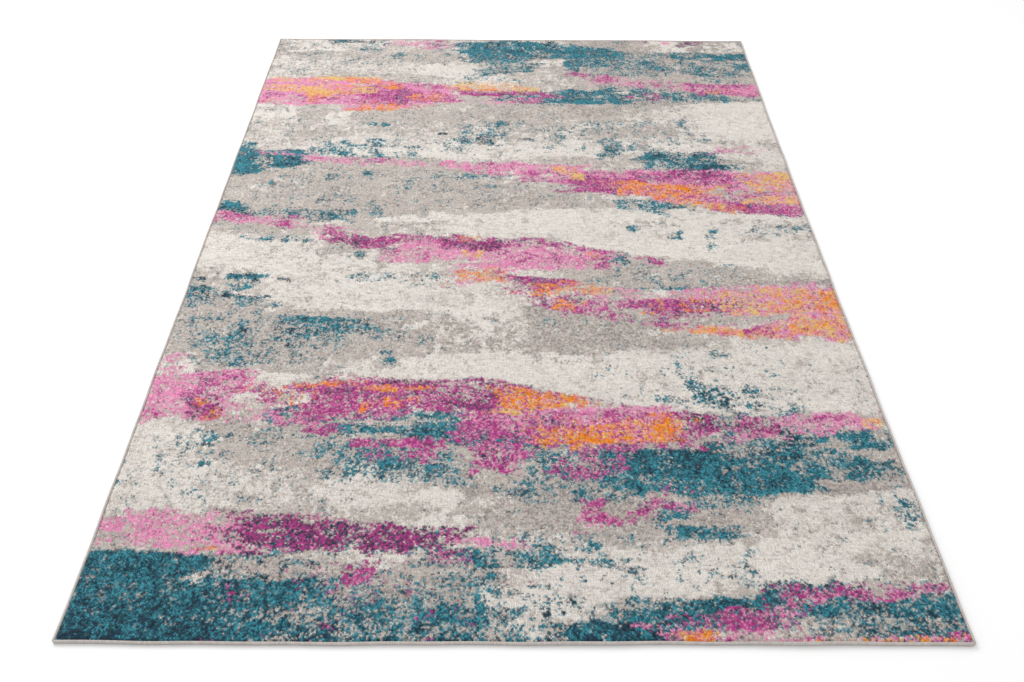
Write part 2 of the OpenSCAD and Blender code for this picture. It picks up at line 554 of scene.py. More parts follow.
# Brush strokes in painting order, each as the fields of a Stroke: start and end, upper and lower edge
# at the start, the same at the end, and the share of its area that the brush covers.
STROKES = (
    (Blend.PALE, (
        (-80, -18, 115, 88, 115, 84, .9), (-80, -52, 70, 44, 70, 46, .85), (-36, 2, 70, 42, 70, 42, .6),
        (-80, -56, -2, -20, -4, -22, .25), (-56, 0, -12, -34, -18, -34, .45),
        (-62, -40, -68, -88, -68, -88, .7), (44, 58, 70, 50, 70, 50, .6), (-18, 22, 58, 42, 56, 42, .35),
        (0, 80, -94, -104, -92, -102, .12),
    )),
    (Blend.GREY, (
        (-80, -18, 110, 96, 108, 99, .55), (-40, -10, 105, 97, 102, 97, .5),
        (-66, -28, 92, 86, 89, 84, .6), (-66, -30, 71, 60, 70, 60, .85), (-66, 0, 62, 50, 70, 56, .6),
        (-36, 46, 72, 60, 71, 59, .9), (-80, 0, 37, 6, 35, 11, .93), (-2, 30, 31, 12, 22, 15, .8),
        (-80, -40, 9, 4, 6, -4, .75), (-52, -30, 4, -4, -2, -8, .7), (-76, -22, -26, -48, -26, -48, .85),
        (-34, 0, -29, -44, -29, -42, .55), (24, 58, -8, -20, -10, -20, .97),
        (56, 80, -12, -19, -15, -19, .7), (-66, -36, -46, -51, -47, -51, .7),
        (-66, -38, -63, -70, -65, -71, .75), (-42, -14, -69, -80, -74, -92, .6),
        (-56, -30, -86, -90, -87, -92, .5), (-14, 50, -77, -94, -79, -92, .9),
        (-60, -28, -95, -101, -96, -101, .8), (-46, 0, -99, -112, -100, -110, .8),
        (20, 58, 60, 50, 59, 50, .45), (38, 66, 74, 66, 74, 69, .8), (10, 52, 10, 2, -4, -10, .04),
        (28, 56, 1, -10, -6, -12, .2), (60, 80, 11, 2, 11, 2, .22), (20, 60, -103, -110, -103, -107, .4),
        (48, 80, -108, -114, -108, -114, .5), (-58, -8, -78, -92, -78, -92, .55),
        (-80, -50, -88, -98, -88, -98, .85), (-70, -30, -59, -72, -60, -80, .8),
        (-44, 4, -62, -82, -64, -82, .9), (-80, -40, -25, -50, -27, -52, .88),
        (-56, 0, -27, -46, -27, -44, .75), (0, 44, -24, -43, -30, -41, .95),
        (0, 80, -67, -83, -67, -82, .9), (0, 52, -79, -93, -79, -90, .95),
        (48, 80, -104, -115, -104, -115, .8), (20, 50, -104, -115, -104, -115, .5),
        (-44, 0, -97, -112, -98, -110, .85),
    )),
    (Blend.TAUPE, (
        (-80, -60, 109, 103, 108, 105, .7), (-36, -18, 98, 96, 98, 96, .4),
        (2, 20, 103, 92, 101, 92, .55), (20, 80, 115, 92, 115, 90, .75), (20, 80, 96, 84, 92, 84, .75),
        (0, 26, 88, 80, 88, 80, .45), (-4, 42, 70, 63, 70, 62, .45), (40, 62, 74, 69, 73, 70, .6),
        (24, 58, 58, 51, 57, 51, .4), (-20, 16, 25, 13, 23, 14, .15), (2, 44, -24, -43, -30, -41, .45),
        (-30, 2, -31, -40, -31, -41, .35), (-10, 26, -39, -46, -39, -46, .4),
        (44, 80, -65, -82, -65, -82, .7), (56, 80, -14, -18, -15, -18, .5),
        (30, 80, -79, -84, -79, -83, .6), (-10, 30, -80, -93, -81, -92, .4),
        (-40, -26, -100, -108, -100, -108, .75), (-28, 0, -100, -109, -100, -109, .35),
        (-50, -38, 4, -6, 2, -6, .2), (60, 72, 115, 106, 115, 108, .5), (38, 58, 115, 105, 115, 105, .4),
        (40, 62, -27, -34, -28, -33, .3), (-62, -36, -96, -103, -97, -103, .6),
        (0, 60, -67, -82, -67, -82, .4), (50, 80, -104, -115, -104, -115, .35),
        (0, 48, -81, -92, -81, -91, .35),
    )),
    (Blend.CREAM, (
        (-30, -8, 98, 90, 97, 84, .85), (-80, -60, 102, 90, 100, 90, .4), (-8, 12, 91, 82, 90, 82, .6),
        (47, 60, 115, 106, 115, 106, .85), (66, 78, 113, 105, 113, 107, .65),
        (8, 20, 100, 95, 101, 96, .6), (-80, -68, 71, 58, 70, 60, .6), (-57, -49, 70, 58, 69, 58, .65),
        (56, 80, 72, 40, 74, 36, .96), (42, 60, 69, 60, 71, 46, .55), (9, 22, 56, 40, 56, 42, .8),
        (-56, -4, 50, 40, 50, 39, .75), (-4, 56, 47, 39, 49, 43, .7), (-20, 14, 12, 3, 13, 2, .95),
        (-36, -18, 10, 8, 12, 9, .6), (12, 80, 14, -3, 12, -14, .97), (-80, -46, 3, -14, 2, -16, .85),
        (-46, -26, -6, -20, -9, -22, .8), (-60, 0, -19, -28, -18, -28, .6),
        (-40, -14, -20, -28, -20, -28, .6), (20, 80, -43, -60, -38, -60, .98),
        (-26, 30, -43, -51, -43, -57, .9), (-80, -70, -42, -50, -42, -50, .75),
        (-58, -46, -48, -53, -49, -52, .9), (-80, -62, -65, -87, -66, -87, .72),
        (-32, -21, -79, -87, -80, -87, .97), (-19, -10, -81, -92, -82, -90, .96),
        (-62, -44, -79, -88, -78, -86, .45), (50, 80, -84, -104, -81, -103, .93),
        (36, 54, -94, -104, -92, -104, .93), (4, 38, -98, -111, -97, -106, .93),
        (2, 9, -92, -98, -93, -97, .8), (8, 36, -96, -100, -95, -99, .6),
        (-30, -19, -94, -99, -95, -99, .65), (-6, 3, -103, -114, -102, -112, .7),
        (60, 79, 30, 30, 32, 30, .2), (-36, -22, -74, -80, -78, -82, .4),
        (-10, 6, -92, -96, -91, -94, .3),
    )),
    (Blend.GREY, (
        (0, 30, 92, 80, 92, 80, .7), (24, 80, 92, 80, 90, 72, .85), (40, 80, 82, 71, 78, 72, .8),
        (42, 56, 70, 58, 69, 56, .4), (0, 52, 60, 50, 58, 50, .55), (-20, 6, 77, 70, 77, 70, .9),
        (-60, 0, 41, 34, 37, 30, .85), (-46, -20, 8, 1, 8, 3, .75), (8, 36, 41, 31, 38, 31, .8),
        (30, 60, 50, 44, 50, 44, .45), (58, 80, 50, 42, 50, 42, .5), (58, 80, 10, 0, 10, 0, .35),
        (30, 42, 10, 5, 10, 5, .3), (10, 30, -8, -20, -8, -20, .85), (24, 50, -4, -12, -9, -14, .8),
        (14, 36, -19, -33, -19, -33, .85), (40, 60, -19, -31, -18, -31, .8),
        (0, 24, -40, -46, -40, -45, .35), (20, 80, -44, -58, -44, -58, .1),
        (-52, -28, 2, -12, -2, -12, .6), (-50, -4, -12, -20, -12, -20, .4),
        (-80, -56, -12, -19, -12, -19, .4), (-66, -38, -60, -66, -60, -68, .6),
        (66, 80, -84, -92, -84, -92, .35), (44, 60, -84, -92, -86, -92, .35),
        (40, 80, -92, -103, -92, -103, .14), (0, 44, -90, -95, -90, -94, .45),
        (38, 62, -60, -72, -60, -72, .8), (60, 80, -64, -81, -64, -80, .75),
    )),
    (Blend.CREAM, (
        (-72, -58, 115, 106, 115, 106, .6), (-40, -2, -45, -51, -43, -51, .5),
        (36, 56, 68, 60, 68, 58, .35), (-78, -62, -64, -70, -64, -70, .6),
        (-60, -28, -5, -15, -6, -15, .55), (-40, -20, -77, -84, -78, -85, .7),
        (-22, 2, -25, -34, -25, -34, .65), (-60, -2, -14, -26, -15, -26, .45),
        (-20, 2, -33, -46, -33, -46, .4), (-50, -40, 114, 105, 114, 105, .3),
    )),
    (Blend.DEEP, (
        (-80, -60, -96, -115, -97, -115, .97), (-62, -44, -103, -115, -104, -115, .85),
        (-62, -36, -102, -115, -103, -115, .6), (-19, 36, 114, 100, 108, 101, .35),
    )),
    (Blend.TEAL, (
        (-80, -20, 112, 90, 112, 96, .05), (-50, -41, 115, 106, 114, 106, .32),
        (-39, -36, 106, 101, 106, 101, .55), (-19, 0, 112, 105, 115, 99, .92),
        (-14, 4, 105, 99, 106, 99, .72), (-2, 36, 115, 101, 109, 101, .84),
        (-10, 9, 101, 89, 98, 91, .72), (-16, 3, 91, 84, 92, 86, .28), (18, 23, 103, 92, 102, 92, .8),
        (20, 36, 104, 95, 103, 95, .55), (34, 80, 106, 100, 105, 100, .5),
        (59, 80, 104, 101, 106, 100, .92), (24, 80, 100, 90, 100, 89, .32),
        (41, 49, 101, 94, 100, 94, .65), (56, 65, 100, 90, 99, 90, .6), (74, 79, 99, 90, 99, 91, .55),
        (10, 39, 80, 71, 79, 71, .9), (38, 66, 79, 75, 78, 73, .5), (64, 80, 77, 73, 76, 73, .4),
        (-5, 12, 78, 73, 78, 72, .5), (22, 60, 90, 84, 90, 85, .08), (-66, -60, 62.5, 60, 62, 60.5, .35),
        (-46, -38, 59.5, 57.5, 59.5, 57.5, .45), (-34, -29, 59.5, 58, 59, 58, .35),
        (-14, 0, 58, 47, 60, 50, .36), (-18, -10, 52, 43, 53, 42, .25), (-56, -48, 49, 43, 49, 42, .4),
        (-43, -36, 49, 45, 49, 45, .5), (-42, -37, 45, 37, 44, 37, .4), (-30, -26, 46, 38, 45, 38, .4),
        (-60, -3, 50, 38, 50, 38, .09), (-80, -60, 43.5, 30, 43, 34.5, .95),
        (-80, -76, 48, 42, 47, 42, .5), (-60, -44, 45, 41, 44, 40, .2), (-2, 56, 60, 42, 60, 43, .08),
        (12, 15, 54, 50, 54, 51, .25), (26, 32, 59, 57, 59, 57, .35), (50, 53, 62, 57, 62, 57, .5),
        (26, 32, 50, 40, 49, 41, .55), (35, 39, 48, 43, 48, 44, .3), (37, 60, 41, 32, 44.5, 33, .72),
        (52, 66, 40, 32, 38, 33, .5), (-53, -49, 31, 28, 31, 28, .5), (-42, -39, 33, 28, 32, 28, .3),
        (-68, -65, 26, 24, 26, 24, .5), (-33, -22, 30, 27, 30, 26, .3), (-80, 0, 34, 14, 33, 14, .04),
        (-15, -5, 31, 28, 31, 28, .3), (-80, -71, 18, 12, 16, 10, .75), (-60, -44, 13, 9, 13.5, 8.5, .65),
        (-72, -60, 13, 10, 14, 9, .3), (-38, -35, 15, 9, 15, 9, .45), (-42, -37, -1, -3, -1, -3, .5),
        (-40, -38, -4, -6.5, -4, -6.5, .6), (-71, -54, 2, 0, 2, -1, .35),
        (-70, -62, -14.5, -16, -14.5, -16, .7), (-69, -63, -16, -21, -16, -21, .4),
        (-80, -56, -18.5, -26, -24, -26.5, .6), (-80, -59, -26, -34, -28, -38, .12),
        (-66, -59, -31, -38, -32, -38, .35), (-51, -38, -30, -36, -31, -36, .6),
        (-41, -22, -31, -36, -36, -38, .38), (-72, -60, -36, -46, -36, -46, .3),
        (-60, -38, -36, -46, -36, -46, .12), (-30, -27, -42, -46, -42, -46, .7),
        (-46, -18, -13, -17, -13, -18, .12), (30, 49, 20, 14, 18, 13, .42), (38, 42, 18, 11, 18, 11, .45),
        (43, 48, 18, 13.5, 17, 13.5, .6), (31, 34.5, 7, 4, 7, 4, .8), (41, 44, 4, 1, 4, 1, .5),
        (52, 54.5, 5.5, 3, 5.5, 3, .6), (51, 54, 3, -3.5, 3, -3.5, .35), (60, 80, 6.5, 3, 7, 4, .14),
        (70, 74, 7, 5.5, 7, 5.5, .6), (24, 56, -8, -18, -10, -18, .09),
        (31, 46, -18.5, -20.5, -18.5, -20.5, .35), (-50, -9, -59, -63, -60, -64, .65),
        (-40, 2, -63, -66, -63, -69.5, .9), (-20, 4, -66, -69.5, -68, -70.5, .8),
        (-40, -6, -70, -79, -71, -80, .38), (-29, -13, -73, -77.5, -74, -77.5, .35),
        (-54, -49, -68, -70, -68, -70, .7), (-46, -40, -69, -70.5, -69, -70.5, .5),
        (-70, -44, -65, -70, -65, -70, .15), (-66, -62, -74, -76, -74, -76, .5),
        (-80, -40, -71, -88, -71, -88, .05), (-80, -58, -95, -115, -97, -115, .98),
        (-60, -40, -101, -115, -103, -115, .8), (-42, -1, -100, -115, -100, -115, .5),
        (-45, -2, -109, -115, -108, -115, .55), (-20, 6, -94, -100, -95, -100, .62),
        (5, 20, -97, -99, -98, -100, .55), (12, 16, -94, -96.5, -94, -96.5, .5),
        (40, 52, -53, -59, -53, -59, .4), (45, 50, -41.5, -44, -41.5, -44, .6),
        (37, 41, -46, -50, -46, -50, .2), (32, 38, -56, -57.5, -56, -57.5, .5),
        (43, 45, -46.5, -48, -46.5, -48, .6), (52, 62, -56, -59, -56, -59, .22),
        (20, 80, -40, -60, -40, -60, .02), (70, 79, -65, -70, -65.5, -70.5, .85),
        (68, 79, -73, -78, -73, -77.5, .9), (9, 24, -73, -79, -72, -79, .5),
        (20, 43, -71, -79, -71, -80, .9), (40, 57, -73, -80, -74, -81, .88),
        (46, 52, -79, -83, -79, -83, .85), (56, 62, -74, -78, -74, -77, .65),
        (2, 8, -75, -77, -75, -77, .6), (-2, 38, -79, -84, -79, -84, .25),
        (34, 38, -79, -84, -79, -84, .6), (29, 33, -84, -89, -84, -89, .45),
        (32, 43, -90, -93, -90, -93, .45), (38, 48, -80, -87, -80, -86, .3),
        (75, 78, -83.5, -88, -84, -88, .35), (0, 50, -90, -108, -90, -104, .05),
        (20, 48, -108, -113, -106, -112, .78), (-2, 9, -110, -115, -111, -115, .5),
        (48, 80, -104, -110, -104, -110, .55), (48, 80, -110, -114, -110, -114, .3),
        (42, 46, -100, -104, -100, -104, .3), (36, 39, 115, 111, 115, 111, .5),
        (64, 78, 112, 106, 112, 106, .12), (-80, -72, 9, 6, 8, 6, .2), (25, 29, -5, -10, -5, -9, .6),
        (40, 60, 80, 71, 80, 71, .35), (60, 80, 77, 73, 77, 73, .3), (30, 58, 50, 44, 50, 44, .06),
        (68, 80, 8, 4, 8, 4, .12), (24, 30, -5, -10, -5, -10, .5), (40, 52, -52, -59, -52, -59, .35),
        (-58, -40, -29, -38, -30, -38, .3), (-76, -60, -28, -40, -28, -40, .1),
        (-40, -24, -32, -36, -35, -40, .25), (-54, -48, -66, -70, -66, -70, .5),
        (-42, -28, -63, -72, -63, -72, .4), (-52, -14, -90, -97, -91, -97, .3),
        (-20, 6, -93, -100, -93, -100, .25), (38, 62, -60, -72, -60, -72, .5),
        (20, 60, -71, -82, -71, -82, .75), (60, 80, -72, -79, -72, -79, .45),
        (66, 80, -64, -71, -64, -71, .5), (0, 20, -70, -80, -70, -80, .35),
        (0, 20, -79, -84, -79, -84, .15), (33, 48, -79, -87, -79, -86, .4),
        (28, 33, -84, -89, -84, -89, .35), (30, 42, -90, -93, -90, -93, .35),
        (70, 79, -82, -92, -82, -92, .12), (0, 5, -91, -100, -91, -100, .25),
        (3, 20, -97.2, -98.8, -97.2, -98.8, .5), (2, 8, -102, -110, -102, -110, .25),
        (16, 52, -106, -112, -105, -112, .7), (48, 80, -103, -110, -102, -110, .5),
        (50, 80, -108, -115, -108, -115, .35), (-45, 0, -108, -115, -108, -115, .45),
        (30, 40, 84, 74, 84, 74, .3), (58, 72, 95, 85, 95, 85, .22),
    )),
    (Blend.DEEP, (
        (-60, -47, 114, 111.5, 114, 112, .7), (-13, 16, 115, 108, 114, 107, .22),
        (-6, 20, 107, 104, 107, 105, .25), (-30, -22, 99, 97, 99, 97, .5),
        (-68, -61, 40.5, 34, 40, 34, .6), (-10, -5, 51, 47, 51, 47, .7),
        (-22, -19, 53.5, 52, 53.5, 52, .8), (2, 6, 51, 49, 51, 49, .7), (39, 62, 44, 40, 44, 33, .22),
        (50, 62, 36, 32, 36, 32, .5), (60, 66, 79, 77, 79, 77, .4), (-5, 4, 79, 74.5, 79, 75, .4),
        (-53, -50, 19, 16, 19, 16, .6), (-80, -71, 16, 13, 14, 10.5, .45),
        (-80, -76, -14.5, -16.5, -15, -16.5, .7), (-70, -64, -14.5, -16, -14.5, -16, .6),
        (-58, -55, -15.5, -17, -15.5, -17, .8), (-78, -73, -19, -24, -20, -23.5, .35),
        (-72, -58, -21, -23, -22, -25, .5), (-55, -44, -33.5, -35.5, -33.5, -35.5, .5),
        (-52, -48, -37, -46, -37, -46, .15), (-64, -60, -34, -36, -34, -36, .6),
        (-38, -34, -31, -34, -31, -34, .3), (-53, -48, -58.5, -61, -59, -61, .5),
        (-26, -6, -65, -68.5, -65, -68.5, .55), (-78, -70, -96.5, -102, -97, -102, .4),
        (-68, -60, -96, -102, -97, -102, .45), (-80, -62, -109, -115, -110, -115, .9),
        (-64, -46, -104, -115, -104, -115, .45), (-45, -20, -110, -115, -110, -115, .3),
        (40, 52, -54, -58.5, -55, -58.5, .2), (72, 77, -66, -71, -66, -71, .45),
        (28, 42, -70, -78, -70, -77, .55), (22, 30, -70, -73, -70, -73, .35),
        (40, 56, -69, -75, -69, -75, .3), (56, 61, -64, -70, -64, -70, .5),
        (70, 78, -74, -76, -74, -76, .4), (3, 6.5, -102, -110, -102, -110, .3),
        (9, 12, -103, -110, -104, -110, .2), (18, 21, -106, -108, -106, -108, .6),
        (8, 27, -112, -115, -111, -115, .85), (27, 42, -109, -112, -106, -110, .4),
        (50, 61, -103.5, -106, -103.5, -107, .55), (66, 79, -112, -114, -111.5, -114, .55),
        (-5, 0, -95, -100, -95, -100, .3), (58, 62, 115, 110, 115, 111, .6),
        (-80, -60, -97, -115, -98, -115, .4), (-60, -44, -104, -115, -104, -115, .35),
        (-62, -36, -96, -103, -97, -103, .3), (22, 40, -70, -76, -70, -76, .3),
        (48, 60, -62, -71, -62, -71, .3), (8, 26, -111, -115, -111, -115, .6),
        (-45, -4, -110, -115, -110, -115, .25), (50, 80, -108, -115, -108, -115, .18),
        (28, 50, -106, -115, -106, -115, .4), (20, 60, -70, -80, -70, -81, .22),
    )),
    (Blend.PINK, (
        (-80, -48, 86, 71, 87.5, 69, .97), (-50, -17, 87, 67.5, 81.5, 71, .96),
        (-42, -20, 115, 110, 115, 107, .35), (28, 55, 88.5, 84, 85, 80.5, .55),
        (53, 80, 83.5, 79, 83, 76, .95), (-8, 8, 76, 71, 76, 71, .4), (58, 69, 45, 42, 45.5, 42, .5),
        (68, 76, 45, 43, 45, 43, .25), (-75, -58, 43, 42, 41, 39.5, .4),
        (-60, -28, 40.5, 38, 37.5, 35, .45), (-30, -18, 37, 35, 37, 34.5, .4),
        (-20, 4, 37.5, 33.5, 36.5, 31, .85), (-2, 12, 36.5, 31, 36, 26.5, .85),
        (10, 34, 36, 26.5, 33, 20.5, .85), (32, 80, 34, 20.5, 32.5, 11.5, .9),
        (-80, -73, 13.5, 9, 11, 9, .95), (-73, -56, 11, 8, 9, 5, .7), (-53, -43, 6, 2, 5, 0, .3),
        (-32, 4, 0, -8, -1, -11.5, .85), (-16, 2, -8, -18, -9, -16, .45),
        (0, 25, -1.5, -12, -4, -11, .85), (33, 38, -7, -10, -8, -10, .35),
        (16, 34, -19, -27, -20, -26, .5), (32, 54, -20, -27, -20, -28, .6),
        (50, 66, -20, -31, -19, -30, .65), (62, 80, -19, -37, -18, -37, .85),
        (64, 73, -19, -22, -16.5, -21, .5), (42, 80, -33, -37, -31, -37, .8),
        (-80, -59, -49, -63, -48, -62.5, .85), (-62, -40, -53, -61, -60, -64.5, .4),
        (-66, -44, -60, -63.5, -63, -65, .3), (-79, -75, -43, -45, -43, -45, .65),
        (-79, -74, -46, -49, -46, -49, .4), (-10, 34, -57, -67, -58, -68, .88),
        (-6, 2, -70, -77, -70, -76, .6), (52, 79, -60.8, -65, -61, -65.5, .8),
        (44, 56, -66.5, -68.5, -67, -68.5, .5), (-79, -67, -89, -92, -86.5, -92, .8),
        (-68, -48, -87.5, -95.5, -89, -96, .65), (-80, -60, -92.5, -94.5, -92, -96, .55),
        (-62, -40, -94, -96, -95, -96, .55), (-14, 0, -93, -94.8, -93.5, -95, .75),
        (24, 50, -112, -115, -107, -115, .45), (50, 80, -105, -107, -102.5, -105, .7),
        (48, 80, -113.5, -115, -113.5, -115, .6), (13, 18, -86, -91, -86, -90, .5),
        (30, 36, -83, -87, -83, -86, .25), (-40, -36, -91, -96, -91, -96, .4),
        (52, 54.5, 115, 112, 115, 112, .5), (-36, -20, -61, -65, -62, -65, .3),
        (-60, -20, 40.5, 38.5, 36.5, 34.5, .3), (58, 70, 46, 42, 46, 42, .5),
        (44, 80, -19, -30, -18, -37, .5), (46, 62, -61, -67, -61, -66, .3),
        (24, 52, -110, -115, -110, -115, .15),
    )),
    (Blend.MAGENTA, (
        (-48, -34, 83, 71, 84, 71, .6), (-36, -18, 80, 70.5, 78, 72, .68), (-44, -20, 86, 81, 83, 79, .3),
        (-60, -55, 80, 73, 80, 73, .45), (-78, -72, 78, 74, 78, 74, .5), (-67, -60, 77, 71, 76, 71, .3),
        (-30, -21, 115, 109, 115, 109, .4), (-17, -7, 79.5, 76, 79, 75.5, .85),
        (-1, 14, 79.5, 76, 78.5, 75.5, .75), (0, 8, 75, 71, 75, 72, .45),
        (19, 24, 92.5, 89, 91, 88.5, .75), (23, 33, 90, 86, 89, 84, .65), (40, 60, 85, 82, 84, 81.5, .4),
        (57, 74, 84, 81.5, 83.5, 81.5, .5), (68, 80, 80, 77, 80, 76, .45),
        (36, 39.5, 76, 74.5, 76, 74.5, .9), (44, 49, 77, 73, 76, 72, .45),
        (45, 47, 115, 113, 115, 113, .6), (59, 66, 45, 42, 45, 42, .35),
        (-56, -34, 40, 38.5, 38, 36.5, .4), (-12, 2, 37, 33, 36, 32, .2), (2, 12, 34, 27, 33, 27, .35),
        (15, 22, 31, 26, 30.5, 24, .7), (19, 34, 30, 23, 29, 20, .85), (20, 34, 34, 31, 32, 30, .7),
        (34, 39, 34, 26, 33, 26, .75), (38, 58, 34, 29, 31, 28, .3), (46, 54, 30, 22, 29, 21, .4),
        (57, 67, 31, 26, 31, 26, .5), (58, 67, 24, 21, 24, 21.5, .55), (55, 80, 19.5, 14, 17, 11.5, .82),
        (-76, -69, 12, 9, 11, 9, .5), (-62, -57, 9.5, 4.5, 9, 4.5, .7), (-50, -44, 6.5, 1.5, 5, 1, .35),
        (-46, -38, 2, -.5, 2, -2.8, .5), (-40, -29, 2, -3.5, 2.2, -5, .96),
        (-31, -19, 2.5, -1, 2.5, -1.2, .65), (-26, -20, 0, -9, 0, -9, .35),
        (-18, -8, 2.8, -2.5, 3, -3, .75), (-9, 14, 2, -3.5, 0, -3.2, .72), (8, 28, 0, -3, -4.5, -6, .75),
        (-4, 20, -4, -9, -5, -9, .15), (21, 25, -5, -13, -5, -12.5, .55),
        (35, 38, -7.5, -9.5, -8, -9.5, .7), (29, 34, -6, -7, -6.5, -7.5, .35),
        (0, 14, -14, -21, -16, -21, .9), (2, 17, -20, -26, -21, -28, .45),
        (12, 20, -18, -23, -20, -24, .5), (14, 30, -24, -30, -24, -27, .45),
        (14, 26, -26, -29, -28, -31.5, .35), (34, 54, -23, -31, -24.5, -29, .75),
        (30, 40, -23, -26, -23, -28, .5), (34, 44, -30, -33.5, -30, -33, .6),
        (50, 68, -22, -28, -23, -28, .25), (38, 43, -34, -36.5, -34, -36.5, .5),
        (22, 32, -29, -33, -31, -33, .12), (66, 80, -30, -35, -31, -35, .3),
        (-70, -61, -48, -58, -50, -58, .42), (-60, -44, -54, -58, -52.5, -59.5, .5),
        (-56, -49, -55, -59, -54, -59.5, .5), (-46, -14, -52, -60, -50.8, -61, .88),
        (-44, -28, -58, -62.5, -58, -63, .55), (-30, 3, -51, -59, -51, -61, .8),
        (-12, 8, -59, -66.5, -60, -68.5, .65), (-44, -36, -63, -66, -64, -66.5, .55),
        (-32, -10, -68, -69.8, -68, -70, .8), (-31, -26, -70, -74, -70, -73, .55),
        (-22, -15, -70, -74, -70, -74, .88), (-9, 1.5, -70, -78, -69, -78, .75),
        (-2, 30, -59.5, -64, -60, -66, .15), (15, 32, -56.5, -58.5, -59, -60, .5),
        (-4, 6, -51, -55, -52, -55, .7), (4, 26, -66, -70, -68, -70.3, .55),
        (24, 39, -66.5, -70.5, -66, -70.8, .7), (32, 42, -60, -70, -60.5, -68, .8),
        (40, 56, -61, -67, -61, -66, .5), (54, 70, -61, -63, -61, -63, .3),
        (7, 16, -75, -79, -75, -79, .45), (14, 25, -69, -78, -70, -77, .22),
        (-50, -36, -88, -96, -88, -95, .35), (13, 17.5, -85, -89, -85, -89, .5),
        (20, 29, -88, -90, -83.5, -86.5, .6), (28, 34, -80, -87, -79.5, -86, .35),
        (-37, -26, -98, -103, -99, -103, .22), (-31, -27, -99.5, -103, -99.5, -102.5, .8),
        (-21, -11, -94, -98, -95, -99, .4), (-52, 4, -96, -115, -96, -115, .02),
        (33, 43, -108.5, -113, -108, -112, .6), (46, 52, -104, -112, -104, -110, .2),
        (66, 80, -103, -105, -102.5, -105, .6), (76, 80, -112.5, -115, -112.5, -115, .6),
        (0, 34, -59, -66, -60, -67, .4), (8, 24, -74, -79, -74, -78, .2),
        (50, 72, -104, -107, -102.5, -105, .5), (24, 52, -109, -115, -108, -114, .15),
        (52, 72, 24, 14, 23, 13, .6), (12, 36, 34, 24, 32, 22, .55), (34, 50, 34, 26, 33, 26, .45),
        (58, 72, 32, 24, 32, 24, .25), (-42, -28, -50, -55, -50, -55, .4), (58, 70, 82, 77, 82, 77, .3),
    )),
    (Blend.PLUM, (
        (-10, -2, 78.5, 75, 78, 75, .8), (59, 66, 115, 111, 115, 111, .4),
        (-45, -38, 1, -2, 1, -2.5, .35), (-16, -3, 1, -3.5, 1, -4.5, .5),
        (38, 50, -24, -29, -24, -28, .5), (-69, -63, -58, -62.5, -59, -62.5, .75),
        (-16, -2, -53, -59, -54, -60, .6), (-44, -36, -53.5, -55, -53.5, -55, .5),
        (-30, -17, -50.5, -53, -50.5, -53, .75), (-9, -4, -71.5, -73.5, -71.5, -73.5, .5),
        (38, 46, -60.5, -66, -61, -66, .7), (-62, -50, -90, -95, -90, -95.5, .5),
        (-52, -38, -87.5, -95.5, -89.5, -96, .8), (-36, -24, -90, -95.5, -90, -95.5, .7),
        (-26, -11, -90, -96, -91, -96, .7), (48, 58, -61, -66, -62, -67, .3),
        (46, 60, 34, 26, 33, 26, .35),
    )),
    (Blend.APRICOT, (
        (-78, -44, 86.5, 84, 88, 85, .55), (-76, -58, 82, 77.5, 82.5, 76, .88),
        (-62, -46, 84, 77, 84, 78, .5), (-18, 10, 82.5, 79, 81.5, 79, .65), (-18, 4, 85, 82, 84, 81, .3),
        (11, 20, 35, 31, 34, 29, .55), (28, 36, 29, 24, 28, 22, .4), (67, 80, 32, 23, 32.5, 23, .75),
        (64, 80, 21, 17.5, 20.5, 16.5, .82), (52, 59, 26, 20, 26, 20, .5),
        (46, 60, 20, 16, 18, 13.5, .45), (-12, -8, -5, -8, -5, -8, .6),
        (-15, -3, -13, -17.5, -13.5, -17.5, .4), (16, 24, -19, -21.5, -19.5, -21.5, .45),
        (48, 66, -20, -30, -20, -29, .32), (63, 80, -19, -37, -19, -37, .5),
        (42, 64, -33.5, -36.5, -32.5, -37, .6), (-1, 18, -56, -59, -57.5, -60, .5),
        (-6, 4, -59.5, -61.5, -59.5, -61, .7), (75, 79, -62, -65, -62, -65, .85),
        (10, 30, -64, -68, -63, -68, .35), (50, 80, -114, -115, -114, -115, .4),
        (50, 56, -20, -23, -20, -23, .4),
    )),
    (Blend.ORANGE, (
        (-53, -38, 87, 84, 86, 81, .5), (-46, -34, 85, 81, 84, 81, .35),
        (-46, -37, 72, 67.5, 71, 67.5, .4), (-48, -28, 70, 67, 69, 67, .45),
        (-29, -21, 77, 72, 77, 72, .5), (-64, -60, 80, 71, 79, 71, .4), (-57, -51, 84, 77, 83, 77, .35),
        (-13, -4, 80.5, 78.2, 80.5, 78.2, .75), (62.5, 67, 80.2, 77.8, 80.2, 77.8, .85),
        (70, 80, 80, 77, 80, 77, .15), (-80, -70, 73, 71, 73, 71, .25), (30, 38, 27.5, 21, 27, 19.5, .6),
        (35, 50, 27, 20, 26, 18.5, .88), (51, 59, 26, 20, 26, 19, .45), (44, 58, 19.5, 18, 18, 15, .35),
        (12, 18, 35, 32, 34, 31, .25), (56, 66, 17, 13, 15, 12.5, .25), (-13, -8, 2.2, 0, 2.4, .4, .5),
        (19, 23, -4, -9, -4, -9, .6), (-14, -2, -11.5, -16, -12, -16, .3),
        (2, 18, -17, -22, -18, -22, .4), (10, 17, -23, -26.5, -24, -26.5, .35),
        (74, 80, -20, -27, -20, -27, .78), (64, 80, -22, -36, -22, -36, .25),
        (38, 62, -34.3, -36.3, -33, -37, .72), (34, 56, -21, -30, -21, -29, .12),
        (-69, -66, -57, -58.6, -57, -58.6, .7), (-66, -62, -59, -62.5, -59.5, -62.5, .5),
        (-58, -44, -54, -58, -53, -58, .28), (-47, -32, -52, -53.4, -50.8, -52, .6),
        (-32, -15, -53, -54.2, -53, -54.2, .92), (-29.5, -24, -55, -59, -55, -59, .72),
